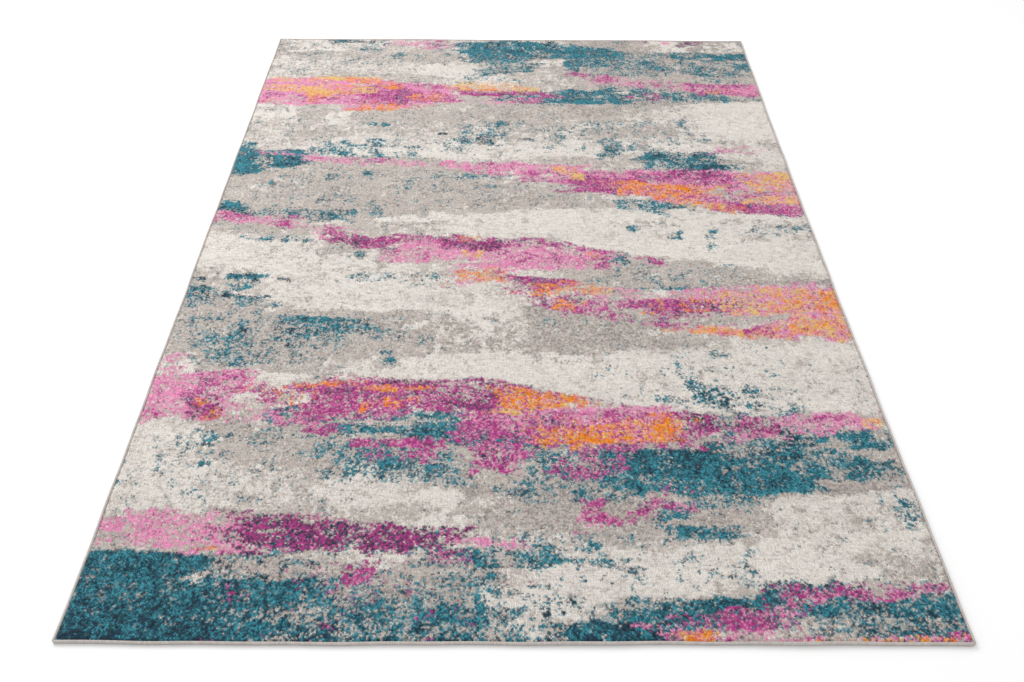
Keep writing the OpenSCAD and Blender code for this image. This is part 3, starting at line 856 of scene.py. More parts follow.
        (-23, -20, -56, -58, -56, -58, .6), (-19, -17, -54, -56.5, -54, -56.5, .7),
        (-33, -31, -57.5, -60, -57.5, -60, .8), (-2, 18, -52.5, -59, -57, -59, .72),
        (8, 36, -64, -69, -63, -69, .62), (6, 22, -65, -69, -65, -68.5, .65),
        (29, 34, -59.5, -68, -60, -67, .7), (-62, -55, -94.3, -95.6, -94.5, -95.7, .75),
        (29, 36, -113, -115, -113, -115, .85), (-2, 2, -53, -60, -53, -60, .5),
        (72, 80, -113.6, -115, -113.6, -115, .35), (-48, -40, -85, -85.5, -85, -85.5, .1),
        (20, 34, -60, -68, -60, -68, .1), (0, 20, -60, -66, -62, -68, .2),
    )),
    (Blend.MAGENTA, (
        (54, 60, -32.5, -36, -32.5, -36, .85), (-12, -4, 79, 76, 79, 76, .4),
    )),
    (Blend.GREY, (
        (57, 80, 24.2, 21.8, 23.5, 21.2, .55), (44, 66, -29, -33, -29, -31.5, .7),
        (-62, -46, -91, -94, -91, -93, .25), (60, 80, -97, -104, -97, -104, .3),
        (-74, -58, -87, -95, -88, -95, .12), (60, 72, 44, 36, 44, 36, .3),
    )),
)


@dataclass(frozen=True)
class Stroke:
    """One stroke of the brush, in centimetres on the rug seen from above, from its centre.

    Attributes:
        start: Where it starts across the rug.
        end: Where it ends across the rug.
        top: Upper edge at the start.
        low: Lower edge at the start.
        end_top: Upper edge at the end.
        end_low: Lower edge at the end.
        cover: Share of its area that the brush covers.
    """

    start: float
    end: float
    top: float
    low: float
    end_top: float
    end_low: float
    cover: float

    def window(self, xs: np.ndarray, ys: np.ndarray) -> tuple[slice, slice]:
        """Finds the part of the pile that the stroke may touch, with room for its frayed outline.

        Args:
            xs: Places across the rug.
            ys: Places along the rug.

        Returns:
            The rows and the columns.
        """
        first, last = np.searchsorted(xs, (self.start - 9, self.end + 9))
        lowest, highest = min(self.low, self.end_low), max(self.top, self.end_top)
        bottom, top = np.searchsorted(ys, (lowest - 4, highest + 4))
        return slice(bottom, top), slice(first, last)


@dataclass(frozen=True)
class Design:
    """The brushed pattern: which yarn stands at each place of the pile.

    Attributes:
        fray: How soft the long sides of a stroke are, in centimetres.
        end_fray: How soft the two ends of a stroke are, in centimetres.
        waver: How far a stroke's outline wanders.
        last_column: Past this distance from the centre a stroke's end runs off the side.
        last_row: Past this distance from the centre a stroke's edge runs off the end.
        overrun: How far such an edge is carried on.
        ground: Share of the unpainted pile that is grey.
        seed: Seed of the brush marks.
    """

    fray: float = 1.1
    end_fray: float = 4.5
    waver: float = 1.0
    last_column: float = 79.5
    last_row: float = 114.4
    overrun: float = 9.0
    ground: float = 0.45
    seed: int = 7

    def waves(self, shape: tuple[int, int], rng: np.random.Generator) -> np.ndarray:
        """Draws how far the outline of a stroke wanders at each place.

        Args:
            shape: Rows and columns.
            rng: Source of random numbers.

        Returns:
            The field, around zero.
        """
        waves = 2.2 * (cloud_field(shape, (9, 34), rng) - 0.5)
        waves = waves + 1.7 * (cloud_field(shape, (4.5, 10), rng) - 0.5)
        return self.waver * (waves + 0.8 * (cloud_field(shape, (1.5, 5), rng) - 0.5))

    def inside(self, stroke: Stroke, x: np.ndarray, y: np.ndarray, waves: np.ndarray) -> np.ndarray:
        """Works out how far each place lies inside a stroke.

        Args:
            stroke: The stroke.
            x: Places across the rug, as one row.
            y: Places along the rug, as one column.
            waves: How far the outline wanders at each place.

        Returns:
            1 well inside the stroke, falling to 0 over its frayed outline.
        """
        share = np.clip((x - stroke.start) / (stroke.end - stroke.start), 0, 1)
        top = stroke.top + (stroke.end_top - stroke.top) * share
        low = stroke.low + (stroke.end_low - stroke.low) * share
        top, low = top + self.overrun * (top > self.last_row), low - self.overrun * (low < -self.last_row)
        wave = waves * np.minimum(1.0, (top - low) / 5 + 0.2)
        side = np.minimum(top - y, y - low) / self.fray
        endless = np.full_like(x, 99.0)
        left = (x - stroke.start) if stroke.start > -self.last_column else endless
        right = (stroke.end - x) if stroke.end < self.last_column else endless
        ends = np.minimum(left, right) / (self.end_fray * min(1.0, (stroke.end - stroke.start) / 14 + 0.1))
        return np.clip(side + wave + 0.5, 0, 1) * np.clip(ends + 0.6 * wave + 0.6, 0, 1)

    def lay(self, xs: np.ndarray, ys: np.ndarray) -> np.ndarray:
        """Lays every stroke down in turn.

        Args:
            xs: Places across the rug, in centimetres from its centre.
            ys: Places along the rug.

        Returns:
            The yarn's place in its Enum, for each row and column.
        """
        shape = (len(ys), len(xs))
        rng = np.random.default_rng(self.seed)
        yarns = list(Yarn)
        grey, cream = yarns.index(Yarn.GREY), yarns.index(Yarn.CREAM)
        picked = np.full(shape, grey, dtype=np.int8)
        waves = self.waves(shape, rng)
        covers, clouds, mixed, clumped = (
            [speck_field(shape, rng, fine, clump) for _ in range(4)]
            for fine, clump in ((1.4, 1.0), (1.1, 1.7), (2.0, 0.8), (1.6, 1.2))
        )
        picked[speck_field(shape, rng, 1.2, 1.0) > self.ground] = cream
        density = 0.8 + 0.4 * cloud_field(shape, (18, 30), rng)
        density = density + 0.25 * (cloud_field(shape, (7, 9), rng) - 0.5)
        turn = 0
        for blend, strokes in STROKES:
            shares = np.cumsum([share for _, share in blend.value])
            codes = np.array([yarns.index(yarn) for yarn, _ in blend.value], dtype=np.int8)
            for stroke in (Stroke(*numbers) for numbers in strokes):
                turn += 1
                cover_field = (clouds if blend in QUIET else covers)[turn % 4]
                yarn_field = (mixed if blend in HEATHER else clumped)[turn % 4]
                window = stroke.window(xs, ys)
                here = picked[window]
                inside = self.inside(stroke, xs[None, window[1]], ys[window[0], None], waves[window])
                laid = cover_field[window] < stroke.cover * inside * density[window]
                if stroke.cover > 0.5 and blend not in QUIET:
                    here[(mixed[0][window] < 0.8 * inside) & (here == cream)] = grey
                which = np.searchsorted(shares, np.minimum(yarn_field[window], shares[-1] - 1e-6))
                here[laid] = codes[which][laid]
        return picked


# ---------------------------------------------------------------------------------------------
# How the rug lies
# ---------------------------------------------------------------------------------------------


@dataclass(frozen=True)
class Lie:
    """The slight unevenness of a rug that has been unrolled: pulled corners, wandering edges, low ripples.

    Attributes:
        half_width: Half the width of the flat rug.
        half_length: Half the length of the flat rug.
        pulled: How far the near corners and the right-hand side are pulled out of line.
        waver: How far an edge strays over short stretches.
        ripple: Height of the ripples along the edges.
        reach: How far in from the edge a ripple dies away.
    """

    half_width: float
    half_length: float
    pulled: float = 4.2 * MM
    waver: float = 0.6 * MM
    ripple: float = 2.0 * MM
    reach: float = 110 * MM

    def settle(self, points: np.ndarray) -> np.ndarray:
        """Moves points of the flat rug to where they lie.

        Args:
            points: Rows of x, y, z.

        Returns:
            The moved rows.
        """
        x, y, z = points[:, 0], points[:, 1], points[:, 2]
        across, along = x / self.half_width, y / self.half_length
        left, right = np.clip(-across, 0.0, 1.1) ** 3, np.clip(across, 0.0, 1.1) ** 3
        near_end = np.clip(-along, 0.0, 1.1) ** 6
        flared = -left * np.exp(-(((along + 1.0) / 0.1) ** 2)) + right * (1.75 * along**2 - 0.8)
        left_corner = np.exp(-(((across + 1.0) / 0.22) ** 2))
        right_corner = np.exp(-(((across - 0.9) / 0.2) ** 2))
        tucked = near_end * (left_corner - 0.4 * right_corner)
        sideways = across**3 * (np.sin(17.0 * along + 2.0) + 0.7 * np.sin(41.0 * along))
        endways = along**5 * (np.sin(13.0 * across + 0.4) + 0.7 * np.sin(31.0 * across + 1.1))
        near = np.exp(-(((along + 1.0) * self.half_length / self.reach) ** 2))
        far = np.exp(-(((1.0 - along) * self.half_length / self.reach) ** 2))
        side = np.exp(-(((across + 1.0) * self.half_width / self.reach) ** 2))
        lift = near * (0.5 - 0.5 * np.cos(13.0 * across + 1.0)) * np.clip(0.5 + across, 0.0, 1.0)
        lift = lift + far * (0.5 - 0.5 * np.cos(7.0 * across)) * 0.6
        lift = lift + side * (0.5 - 0.5 * np.cos(9.0 * along + 2.0)) * 0.5
        moved_x = x + self.pulled * flared + self.waver * sideways
        moved_y = y + self.pulled * tucked + self.waver * endways
        return np.stack([moved_x, moved_y, z + self.ripple * lift], axis=1)


# ---------------------------------------------------------------------------------------------
# Mesh helpers
# ---------------------------------------------------------------------------------------------


def node_box(node: str) -> tuple[np.ndarray, np.ndarray]:
    """Lowest and highest corner of a CAD node."""
    low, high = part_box(node)
    return np.array(low), np.array(high)


def settle_mesh(mesh: bpy.types.Mesh, lie: Lie) -> None:
    """Lays a flat mesh down as the rug lies.

    Args:
        mesh: The mesh, which is changed.
        lie: How the rug lies.
    """
    points = np.empty(len(mesh.vertices) * 3, dtype=np.float32)
    mesh.vertices.foreach_get("co", points)
    settled = lie.settle(points.reshape(-1, 3).astype(float))
    mesh.vertices.foreach_set("co", settled.astype(np.float32).ravel())
    mesh.update()


def make_piece(
    name: str, bm: bmesh.types.BMesh, material: bpy.types.Material, lie: Lie
) -> bpy.types.Object:
    """Turns a bmesh into a smooth, dressed piece that rides with the rug.

    Args:
        name: Name of the piece.
        bm: The shape, which is freed.
        material: Its finish.
        lie: How the rug lies.

    Returns:
        The new object.
    """
    mesh = bpy.data.meshes.new(name)
    bm.to_mesh(mesh)
    bm.free()
    settle_mesh(mesh, lie)
    mesh.polygons.foreach_set("use_smooth", np.ones(len(mesh.polygons), dtype=bool))
    mesh.materials.append(material)
    piece = bpy.data.objects.new(name, mesh)
    bpy.context.scene.collection.objects.link(piece)
    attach(piece, BODY)
    return piece


def close_roll(bm: bmesh.types.BMesh) -> None:
    """Joins the seam of a rolled-up grid, closes its two ends and turns its faces outwards."""
    bmesh.ops.remove_doubles(bm, verts=bm.verts, dist=SEAM_GAP)
    bmesh.ops.holes_fill(bm, edges=[edge for edge in bm.edges if edge.is_boundary])
    bmesh.ops.recalc_face_normals(bm, faces=bm.faces)


# ---------------------------------------------------------------------------------------------
# Ground: latex coat and ground weave
# ---------------------------------------------------------------------------------------------


@dataclass
class GroundWeave:
    """The latex-coated ground that holds the tufts.

    Attributes:
        lie: How the rug lies.
        cell: Size of the coat's mesh cells.
        shot_pitch: Distance between weft shots.
        warp_pitch: Distance between groups of stuffer warps.
        bends: Lengths that each shot or warp is divided into.
        fill: Width of a yarn, as a share of its pitch.
        flank: How far a yarn's flanks drop below its crest, as a share of its height.
    """

    lie: Lie
    cell: float = 30 * MM
    shot_pitch: float = 7.6 * MM
    warp_pitch: float = 7.2 * MM
    bends: int = 8
    fill: float = 0.72
    flank: float = 0.3

    def coat(self) -> bpy.types.Object:
        """Builds the latex coat as a thin closed sheet.

        Returns:
            The sheet.
        """
        low, high = node_box("back_coat")
        size = high - low
        bm = bmesh.new()
        across, along = round(size[0] / self.cell), round(size[1] / self.cell)
        bmesh.ops.create_grid(bm, x_segments=across, y_segments=along, size=0.5)
        bmesh.ops.scale(bm, vec=(size[0], size[1], 1.0), verts=bm.verts)
        bmesh.ops.translate(bm, vec=(0.0, 0.0, high[2]), verts=bm.verts)
        bmesh.ops.solidify(bm, geom=bm.faces[:], thickness=size[2])
        bmesh.ops.recalc_face_normals(bm, faces=bm.faces)
        coat = make_piece("back_coat_sheet", bm, LatexCoat(pitch=self.shot_pitch).make(), self.lie)
        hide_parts("back_coat")
        return coat

    def layer(
        self, node: str, name: str, crosswise: bool, finish: SpunYarn, slot: str
    ) -> bpy.types.Object:
        """Builds one layer of parallel yarns.

        Args:
            node: CAD node that the layer stands for.
            name: Name of the piece.
            crosswise: True for weft shots, False for warps.
            finish: The yarn's finish.
            slot: Name of a material slot, which is not used.

        Returns:
            The layer.
        """
        low, high = node_box(node)
        size = high - low
        pitch = self.shot_pitch if crosswise else self.warp_pitch
        run, stack = (size[0], size[1]) if crosswise else (size[1], size[0])
        yarn = self.fill * pitch
        count = int((stack - yarn) / pitch) + 1
        bm = bmesh.new()
        bmesh.ops.create_grid(bm, x_segments=self.bends, y_segments=2, size=0.5)
        bmesh.ops.scale(bm, vec=(run, yarn, 1.0), verts=bm.verts)
        for vert in bm.verts:
            vert.co.z = size[2] * (0.5 - self.flank * (abs(vert.co.y) > yarn / 4.0))
        mirrored = bmesh.ops.duplicate(bm, geom=bm.verts[:] + bm.edges[:] + bm.faces[:])["geom"]
        under = [item for item in mirrored if isinstance(item, bmesh.types.BMVert)]
        bmesh.ops.scale(bm, vec=(1.0, 1.0, -1.0), verts=under)
        bmesh.ops.bridge_loops(bm, edges=[edge for edge in bm.edges if edge.is_boundary])
        bmesh.ops.recalc_face_normals(bm, faces=bm.faces)
        if not crosswise:
            bmesh.ops.rotate(bm, verts=bm.verts, matrix=Matrix.Rotation(TAU / 4.0, 3, "Z"))
        first = bm.verts[:] + bm.edges[:] + bm.faces[:]
        step = (0.0, pitch, 0.0) if crosswise else (pitch, 0.0, 0.0)
        middle = (low[2] + high[2]) / 2.0
        start = -(count - 1) / 2.0
        bmesh.ops.translate(bm, vec=(step[0] * start, step[1] * start, middle), verts=bm.verts)
        for index in range(1, count):
            copy = bmesh.ops.duplicate(bm, geom=first)["geom"]
            moved = [item for item in copy if isinstance(item, bmesh.types.BMVert)]
            bmesh.ops.translate(bm, vec=(step[0] * index, step[1] * index, 0.0), verts=moved)
        layer = make_piece(name, bm, finish.make(), self.lie)
        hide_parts(node)
        return layer

    def build(self) -> list[bpy.types.Object]:
        """Builds the coat and the three layers of yarn.

        Returns:
            The pieces, the coat first.
        """
        jute = SpunYarn("jute_weft", srgb(118, 88, 52), srgb(196, 164, 116))
        cotton = SpunYarn("warp_yarn", srgb(170, 162, 148), srgb(232, 226, 212))
        return [
            self.coat(),
            self.layer("weft_lower", "weft_shots_lower", True, jute, "jute_weft"),
            self.layer("stuffer_warps", "stuffer_warp_groups", False, cotton, "warp_yarn"),
            self.layer("weft_upper", "weft_shots_upper", True, jute, "jute_weft"),
        ]


# ---------------------------------------------------------------------------------------------
# Pile
# ---------------------------------------------------------------------------------------------


@dataclass
class CutPile:
    """The cut pile: one crowned tuft for each point of the loom's grid, in the yarn the design asks for.

    Attributes:
        lie: How the rug lies.
        columns: Tufts across the width.
        rows: Tufts along the length.
        valley: How deep the gaps between tufts are.
        uneven: How far the depth of the gaps varies.
        skirt: How high up the pile its outermost row starts, as a share of its height.
        crown: How far a tuft's middle stands above the gaps.
        stray: How far a tuft's corners stray, as a share of the pitch.
        zigzag: How far every other row and column of corners is set off, as a share of the pitch.
        lean: How far tips lean, as a share of the pitch.
        tousle: How far whole clumps of tufts lean together, as a share of the pitch.
        swell: How far clumps of tufts stand above or below each other.
        most_triangles: The most triangles that one piece may have.
        seed: Seed of the tufts' own unevenness.
    """

    lie: Lie
    columns: int = 520
    rows: int = 740
    valley: float = 1.7 * MM
    uneven: float = 0.25 * MM
    skirt: float = 0.35
    crown: float = 1.5 * MM
    stray: float = 0.3
    zigzag: float = 0.18
    lean: float = 0.4
    tousle: float = 1.4
    swell: float = 1.6 * MM
    most_triangles: int = 190_000
    seed: int = 11

    def __post_init__(self) -> None:
        """Takes the pile's size from the frame."""
        self.low, self.high = node_box("pile_cream")
        self.size = self.high - self.low
        self.pitch = (self.size[0] / self.columns, self.size[1] / self.rows)

    def lay_out(self, finishes: dict[Yarn, PileYarn]) -> None:
        """Works out the corners of the tufts, and each tuft's yarn, height, lean, shade and dye.

        Args:
            finishes: The finish of each yarn.
        """
        rng = np.random.default_rng(self.seed)
        x = np.linspace(self.low[0], self.high[0], self.columns + 1)
        y = np.linspace(self.low[1], self.high[1], self.rows + 1)
        grid_x, grid_y = np.meshgrid(x, y)
        height = self.high[2] - self.valley + rng.normal(0.0, self.uneven, grid_x.shape)
        inner = np.zeros(grid_x.shape)
        inner[1:-1, 1:-1] = 1.0
        every_other_row = (np.arange(self.rows + 1)[:, None] % 2 - 0.5) * 2.0 * self.zigzag
        every_other_column = (np.arange(self.columns + 1)[None, :] % 2 - 0.5) * 2.0 * self.zigzag
        set_off_x = every_other_row + rng.uniform(-self.stray, self.stray, grid_x.shape)
        set_off_y = every_other_column + rng.uniform(-self.stray, self.stray, grid_y.shape)
        grid_x = grid_x + inner * set_off_x * self.pitch[0]
        grid_y = grid_y + inner * set_off_y * self.pitch[1]
        height = np.where(inner > 0, height, self.low[2] + self.skirt * self.size[2])
        self.corners = np.stack([grid_x, grid_y, height], axis=-1)
        centre_x = (x[:-1] + x[1:]) / 2.0
        centre_y = (y[:-1] + y[1:]) / 2.0
        self.yarns = Design().lay(centre_x / CM, centre_y / CM)
        shape = (self.rows, self.columns)
        self.rise = self.crown * rng.uniform(0.6, 1.3, shape)
        self.rise = self.rise + self.swell * (cloud_field(shape, (3.5, 3.5), rng) - 0.5)
        leaning = np.stack([cloud_field(shape, (4.0, 4.0), rng) - 0.5 for _ in range(2)], axis=-1)
        single = rng.normal(0.0, self.lean * 0.5, (*shape, 2))
        self.tilt = (single + self.tousle * leaning) * self.pitch[0]
        self.shade = rng.random(shape)
        self.dyes = np.array([finishes[yarn].colour for yarn in Yarn])
        dyed = np.pad(self.dyes[self.yarns], ((1, 1), (1, 1), (0, 0)), mode="edge")
        self.mingled = (dyed[:-1, :-1] + dyed[1:, :-1] + dyed[:-1, 1:] + dyed[1:, 1:]) / 4.0

    def tufts(self, code: int, first: int, last: int) -> bmesh.types.BMesh:
        """Builds the tufts of one yarn between two rows.

        Args:
            code: Place of the yarn in its Enum.
            first: First row.
            last: Row after the last.

        Returns:
            The tufts.
        """
        rows = last - first
        wanted = (self.yarns[first:last] == code).ravel()
        corners = self.corners[first:last + 1].reshape(-1, 3).tolist()
        blends = self.mingled[first:last + 1].reshape(-1, 3).tolist()
        bm = bmesh.new()
        bmesh.ops.create_grid(bm, x_segments=self.columns, y_segments=rows, size=1.0)
        mingled = bm.verts.layers.float_color.new("mingled")
        for vert, corner, blend in zip(bm.verts, corners, blends):
            vert.co = corner
            vert[mingled] = (*blend, 1.0)
        spare = [face for face, keep in zip(bm.faces, wanted) if not keep]
        bmesh.ops.delete(bm, geom=spare, context="FACES")
        tip = bm.verts.layers.float.new("tip")
        shade = bm.faces.layers.float.new("shade")
        rise = self.rise[first:last].ravel()[wanted].tolist()
        tilt = self.tilt[first:last].reshape(-1, 2)[wanted].tolist()
        tone = self.shade[first:last].ravel()[wanted].tolist()
        dye = (*self.dyes[code].tolist(), 1.0)
        tips = bmesh.ops.poke(bm, faces=bm.faces[:], offset=0.0)["verts"]
        for vert, up, (east, north), value in zip(tips, rise, tilt, tone):
            vert.co.x += east
            vert.co.y += north
            vert.co.z += up
            vert[tip] = 1.0
            vert[mingled] = dye
            for face in vert.link_faces:
                face[shade] = value
        return bm

    def unwrap(self, mesh: bpy.types.Mesh) -> None:
        """Lays a piece's surface out flat from above, for a finish that is stored as a picture.

        Args:
            mesh: The piece's mesh, which gets a UV map.
        """
        points = np.empty(len(mesh.vertices) * 3, dtype=np.float32)
        mesh.vertices.foreach_get("co", points)
        points = points.reshape(-1, 3)[:, :2]
        corner = np.empty(len(mesh.loops), dtype=np.int32)
        mesh.loops.foreach_get("vertex_index", corner)
        low = points.min(axis=0)
        flat = (points[corner] - low) / (points.max(axis=0) - low)
        layer = mesh.uv_layers.new(name="OFBake")
        layer.uv.foreach_set("vector", (0.002 + 0.996 * flat).astype(np.float32).ravel())

    def build(self, finishes: dict[Yarn, PileYarn]) -> list[bpy.types.Object]:
        """Builds one piece per yarn, or several bands of rows where a yarn has too many tufts.

        Args:
            finishes: The finish of each yarn.

        Returns:
            The pieces.
        """
        self.lay_out(finishes)
        pieces = []
        for code, yarn in enumerate(Yarn):
            material = finishes[yarn].make()
            per_row = (self.yarns == code).sum(axis=1)
            parts = math.ceil(4 * per_row.sum() / self.most_triangles)
            share = np.cumsum(per_row) / per_row.sum()
            cuts = [0] + [int(np.searchsorted(share, i / parts)) for i in range(1, parts)] + [self.rows]
            for part, (first, last) in enumerate(zip(cuts, cuts[1:])):
                name = f"{yarn.value}_tufts" + (f"_{part + 1}" if parts > 1 else "")
                piece = make_piece(name, self.tufts(code, first, last), material, self.lie)
                self.unwrap(piece.data)
                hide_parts(yarn.value)
                pieces.append(piece)
                LOG.info("%s: %d tufts", name, len(piece.data.polygons) // 4)
        return pieces


# ---------------------------------------------------------------------------------------------
# Overcast edge
# ---------------------------------------------------------------------------------------------


class Side(Enum):
    """One side of the rug, as the turn that brings the right-hand side onto it."""

    RIGHT = 0
    FAR = 1
    LEFT = 2
    NEAR = 3


@dataclass
class OvercastEdge:
    """Filler cords wrapped in close turns of yarn, along the four sides and round the corners.

    Attributes:
        lie: How the rug lies.
        turn: Distance between turns of the yarn.
        steps: Mesh steps to each turn.
        around: Mesh steps round the roll.
        groove: How deep the gap between two turns is.
        slant: How far a turn slants on its way round, in turns.
        ply_lay: Length in which the cord's plies twist once round.
        cord_step: Length of the cord's mesh cells, over half a side.
        seed: Seed of the turns' unevenness.
    """

    lie: Lie
    turn: float = 3.2 * MM
    steps: int = 4
    around: int = 12
    groove: float = 0.55 * MM
    slant: float = 0.6
    ply_lay: float = 24 * MM
    cord_step: float = 4 * MM
    seed: int = 5

    def __post_init__(self) -> None:
        """Takes the roll's section from the frame, and mixes the yarn's finish."""
        self.low, self.high = node_box("overcast_right")
        self.rolls = (self.high[0] - self.low[0], self.high[2] - self.low[2])
        self.field = node_box("pile_cream")[1][:2]
        self.rng = np.random.default_rng(self.seed)
        self.material = OvercastYarn().make()

    def wind(self, turns: int, path: Callable[[float, float, float], tuple]) -> bmesh.types.BMesh:
        """Winds yarn round a roll.

        Args:
            turns: Number of turns.
            path: Gives the place of a point from how far along the roll it is, from 0 to 1, how far
                out from the field, and how high.

        Returns:
            The wound yarn.
        """
        stations = turns * self.steps
        bm = bmesh.new()
        bmesh.ops.create_grid(bm, x_segments=stations, y_segments=self.around, size=0.5)
        crest = bm.verts.layers.float.new("crest")
        shade = bm.faces.layers.float.new("shade")
        plump = self.rng.uniform(0.0, 1.0, turns + 2)
        tones = self.rng.random(turns + 2)
        half_w, half_h = self.rolls[0] / 2.0, self.rolls[1] / 2.0
        for vert in bm.verts:
            along = vert.co.x + 0.5
            angle = TAU * vert.co.y
            phase = along * turns + self.slant * vert.co.y
            ridge = abs(math.sin(math.pi * phase)) ** 0.7
            inset = self.groove * (1.0 - ridge) + 0.35 * self.groove * plump[int(phase + 1)]
            out = half_w + (half_w - inset) * math.cos(angle)
            lift = half_h + (half_h - inset) * math.copysign(abs(math.sin(angle)) ** 0.85, math.sin(angle))
            vert[crest] = ridge
            vert.co = path(along, out, lift)
        for face in bm.faces:
            station = face.index % stations
            face[shade] = tones[station // self.steps]
        close_roll(bm)
        return bm

    def turned(self, point: tuple[float, float, float], side: Side) -> tuple[float, float, float]:
        """Turns a point from the right-hand side onto another side.

        Args:
            point: Its place on the right-hand side.
            side: The other side.

        Returns:
            Its place on that side.
        """
        x, y, z = point
        for _ in range(side.value):
            x, y = -y, x
        return (x, y, z)

    def run(self, side: Side) -> tuple[float, float]:
        """Gives half the length of a side, and how far out from the centre its field ends."""
        half_w, half_l = self.field
        return (half_l, half_w) if side in (Side.RIGHT, Side.LEFT) else (half_w, half_l)

    def straight(self, side: Side) -> bpy.types.Object:
        """Builds the overcast yarn along one side.

        Args:
            side: The side.

        Returns:
            The wound yarn.
        """
        half, out = self.run(side)

        def path(along: float, away: float, lift: float) -> tuple[float, float, float]:
            """Gives the place of a point of the roll."""
            return self.turned((out + away, half * (2.0 * along - 1.0), lift), side)

        bm = self.wind(round(2.0 * half / self.turn), path)
        node = f"overcast_{side.name.lower()}"
        piece = make_piece(f"{node}_yarn", bm, self.material, self.lie)
        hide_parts(node)
        return piece

    def corner(self, side: Side, node: str) -> bpy.types.Object:
        """Builds the yarn that fans round the corner at the end of one side.

        Args:
            side: The side.
            node: CAD node of the corner.

        Returns:
            The wound yarn.
        """
        half, out = self.run(side)

        def path(along: float, away: float, lift: float) -> tuple[float, float, float]:
            """Gives the place of a point of the fan.

            Args:
                along: How far round the corner it is, from 0 to 1.
                away: How far out from the field it is.
                lift: How high it is.

            Returns:
                Its place.
            """
            angle = along * TAU / 4.0
            place = (out + away * math.cos(angle), half + away * math.sin(angle), lift)
            return self.turned(place, side)

        turns = max(3, round(self.rolls[0] * TAU / 4.0 / self.turn * 1.4))
        piece = make_piece(f"{node}_yarn", self.wind(turns, path), self.material, self.lie)
        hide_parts(node)
        return piece

    def cord(self, side: Side, material: bpy.types.Material) -> bpy.types.Object:
        """Builds the three-ply filler cord inside one side.

        Args:
            side: The side.
            material: The cord's finish.

        Returns:
            The cord.
        """
        half, out = self.run(side)
        low, high = node_box("cord_right")
        radius = (high[2] - low[2]) / 2.0
        middle = (out + self.rolls[0] / 2.0, (low[2] + high[2]) / 2.0)
        bm = bmesh.new()
        bmesh.ops.create_grid(bm, x_segments=round(half / self.cord_step), y_segments=self.around, size=0.5)
        for vert in bm.verts:
            angle = TAU * vert.co.y
            twist = TAU * vert.co.x * 2.0 * half / self.ply_lay
            reach = radius * (0.86 + 0.14 * math.cos(3.0 * (angle - twist)))
            away, lift = middle[0] + reach * math.cos(angle), middle[1] + reach * math.sin(angle)
            vert.co = self.turned((away, 2.0 * half * vert.co.x, lift), side)
        close_roll(bm)
        node = f"cord_{side.name.lower()}"
        piece = make_piece(f"{node}_plied", bm, material, self.lie)
        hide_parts(node)
        return piece

    def build(self) -> list[bpy.types.Object]:
        """Builds the four sides, the four corners and the four cords.

        Returns:
            The pieces.
        """
        corners = {
            Side.RIGHT: "corner_far_right",
            Side.FAR: "corner_far_left",
            Side.LEFT: "corner_near_left",
            Side.NEAR: "corner_near_right",
        }
        cord_finish = SpunYarn("filler_cord", srgb(150, 142, 130), srgb(214, 206, 192)).make()
        pieces = []
        for side in Side:
            pieces.append(self.straight(side))
            pieces.append(self.corner(side, corners[side]))
            pieces.append(self.cord(side, cord_finish))
            LOG.info("overcast %s side built", side.name.lower())
        return pieces


# ---------------------------------------------------------------------------------------------
# Studio
# ---------------------------------------------------------------------------------------------


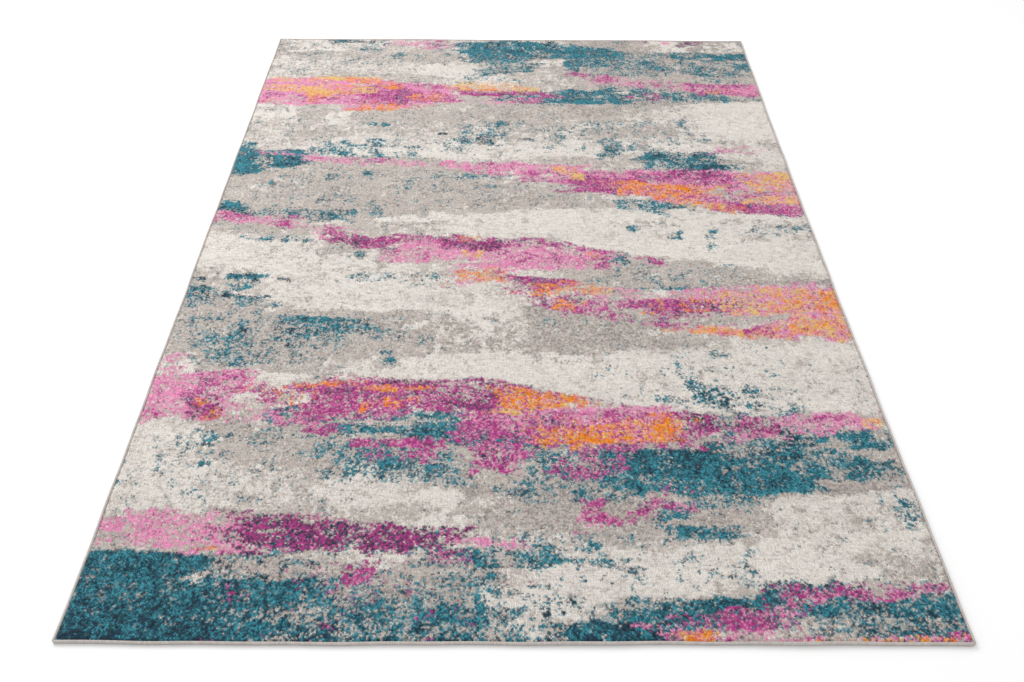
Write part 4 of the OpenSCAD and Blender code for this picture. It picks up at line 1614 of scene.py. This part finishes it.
@dataclass
class Studio:
    """Pale floor, soft light and the camera of someone who stands at the near end.

    Attributes:
        eye: Where the camera stands.
        aim: Its turn about X, Y and Z, in degrees.
        lens: Focal length in millimetres.
        floor_size: Side of the floor.
        floor_gap: How far the floor lies under the rug, so that the two don't flicker.
        sky: Strength of the even light from all round.
        key_place: Where the soft box hangs.
        key_turn: Its turn about X, Y and Z, in degrees.
        key_size: Side of the soft box.
        key_power: Its power in watts.
    """

    eye: tuple[float, float, float] = (-0.022, -2.0099, 1.5319)
    aim: tuple[float, float, float] = (46.887, -0.448, -0.265)
    lens: float = 33.867
    floor_size: float = 30.0
    floor_gap: float = 0.1 * MM
    sky: float = 0.85
    key_place: tuple[float, float, float] = (-1.8, 1.6, 3.2)
    key_turn: tuple[float, float, float] = (-25.0, -28.0, 0.0)
    key_size: float = 2.4
    key_power: float = 75.0

    def floor(self) -> None:
        """Lays the floor just under the rug."""
        bm = bmesh.new()
        bmesh.ops.create_grid(bm, x_segments=1, y_segments=1, size=self.floor_size / 2.0)
        mesh = bpy.data.meshes.new("floor")
        bm.to_mesh(mesh)
        bm.free()
        mesh.materials.append(StudioFloor().make())
        floor = bpy.data.objects.new("floor", mesh)
        bpy.context.scene.collection.objects.link(floor)
        floor.location.z = -self.floor_gap

    def key_light(self) -> None:
        """Hangs the soft box."""
        data = bpy.data.lights.new("key", "AREA")
        data.shape = "SQUARE"
        data.size = self.key_size
        data.energy = self.key_power
        lamp = bpy.data.objects.new("key", data)
        lamp.location = self.key_place
        lamp.rotation_euler = tuple(math.radians(turn) for turn in self.key_turn)
        bpy.context.scene.collection.objects.link(lamp)

    def camera(self) -> None:
        """Sets up the camera."""
        data = bpy.data.cameras.new("camera")
        data.lens = self.lens
        data.sensor_width = 36.0
        camera = bpy.data.objects.new("camera", data)
        camera.location = self.eye
        camera.rotation_euler = tuple(math.radians(turn) for turn in self.aim)
        bpy.context.scene.collection.objects.link(camera)
        bpy.context.scene.camera = camera

    def build(self) -> None:
        """Builds the surroundings, the floor, the light and the camera."""
        scene = bpy.context.scene
        world = bpy.data.worlds.new("studio")
        world.use_nodes = True
        background = world.node_tree.nodes["Background"]
        background.inputs["Color"].default_value = (1.0, 1.0, 1.0, 1.0)
        background.inputs["Strength"].default_value = self.sky
        scene.world = world
        scene.view_settings.view_transform = "Standard"
        self.floor()
        self.key_light()
        self.camera()


# ---------------------------------------------------------------------------------------------
# The rug
# ---------------------------------------------------------------------------------------------

FINISHES = {
    Yarn.CREAM: PileYarn("pile_cream", srgb(246, 239, 231), spread=0.05),
    Yarn.GREY: PileYarn("pile_grey", srgb(210, 200, 192), spread=0.08),
    Yarn.TAUPE: PileYarn("pile_taupe", srgb(168, 157, 152), spread=0.1),
    Yarn.TEAL: PileYarn("pile_teal", srgb(56, 136, 152), spread=0.48),
    Yarn.NAVY: PileYarn("pile_navy", srgb(28, 62, 80), spread=0.4),
    Yarn.PINK: PileYarn("pile_pink", srgb(246, 156, 198), spread=0.14),
    Yarn.MAGENTA: PileYarn("pile_magenta", srgb(188, 66, 144), spread=0.2),
    Yarn.APRICOT: PileYarn("pile_apricot", srgb(248, 206, 128), spread=0.12),
    Yarn.ORANGE: PileYarn("pile_orange", srgb(255, 144, 34), spread=0.14),
}


def main() -> None:
    logging.basicConfig(level=logging.INFO, format="%(name)s: %(message)s")
    Studio().build()
    lie = Lie(half_width=CAD_BOX[1][0], half_length=CAD_BOX[1][1])
    ground = GroundWeave(lie).build()
    LOG.info("ground weave: %d layers", len(ground))
    pile = CutPile(lie).build(FINISHES)
    edges = OvercastEdge(lie).build()
    ground[1:] + pile + edges


if __name__ == "__main__":
    main()
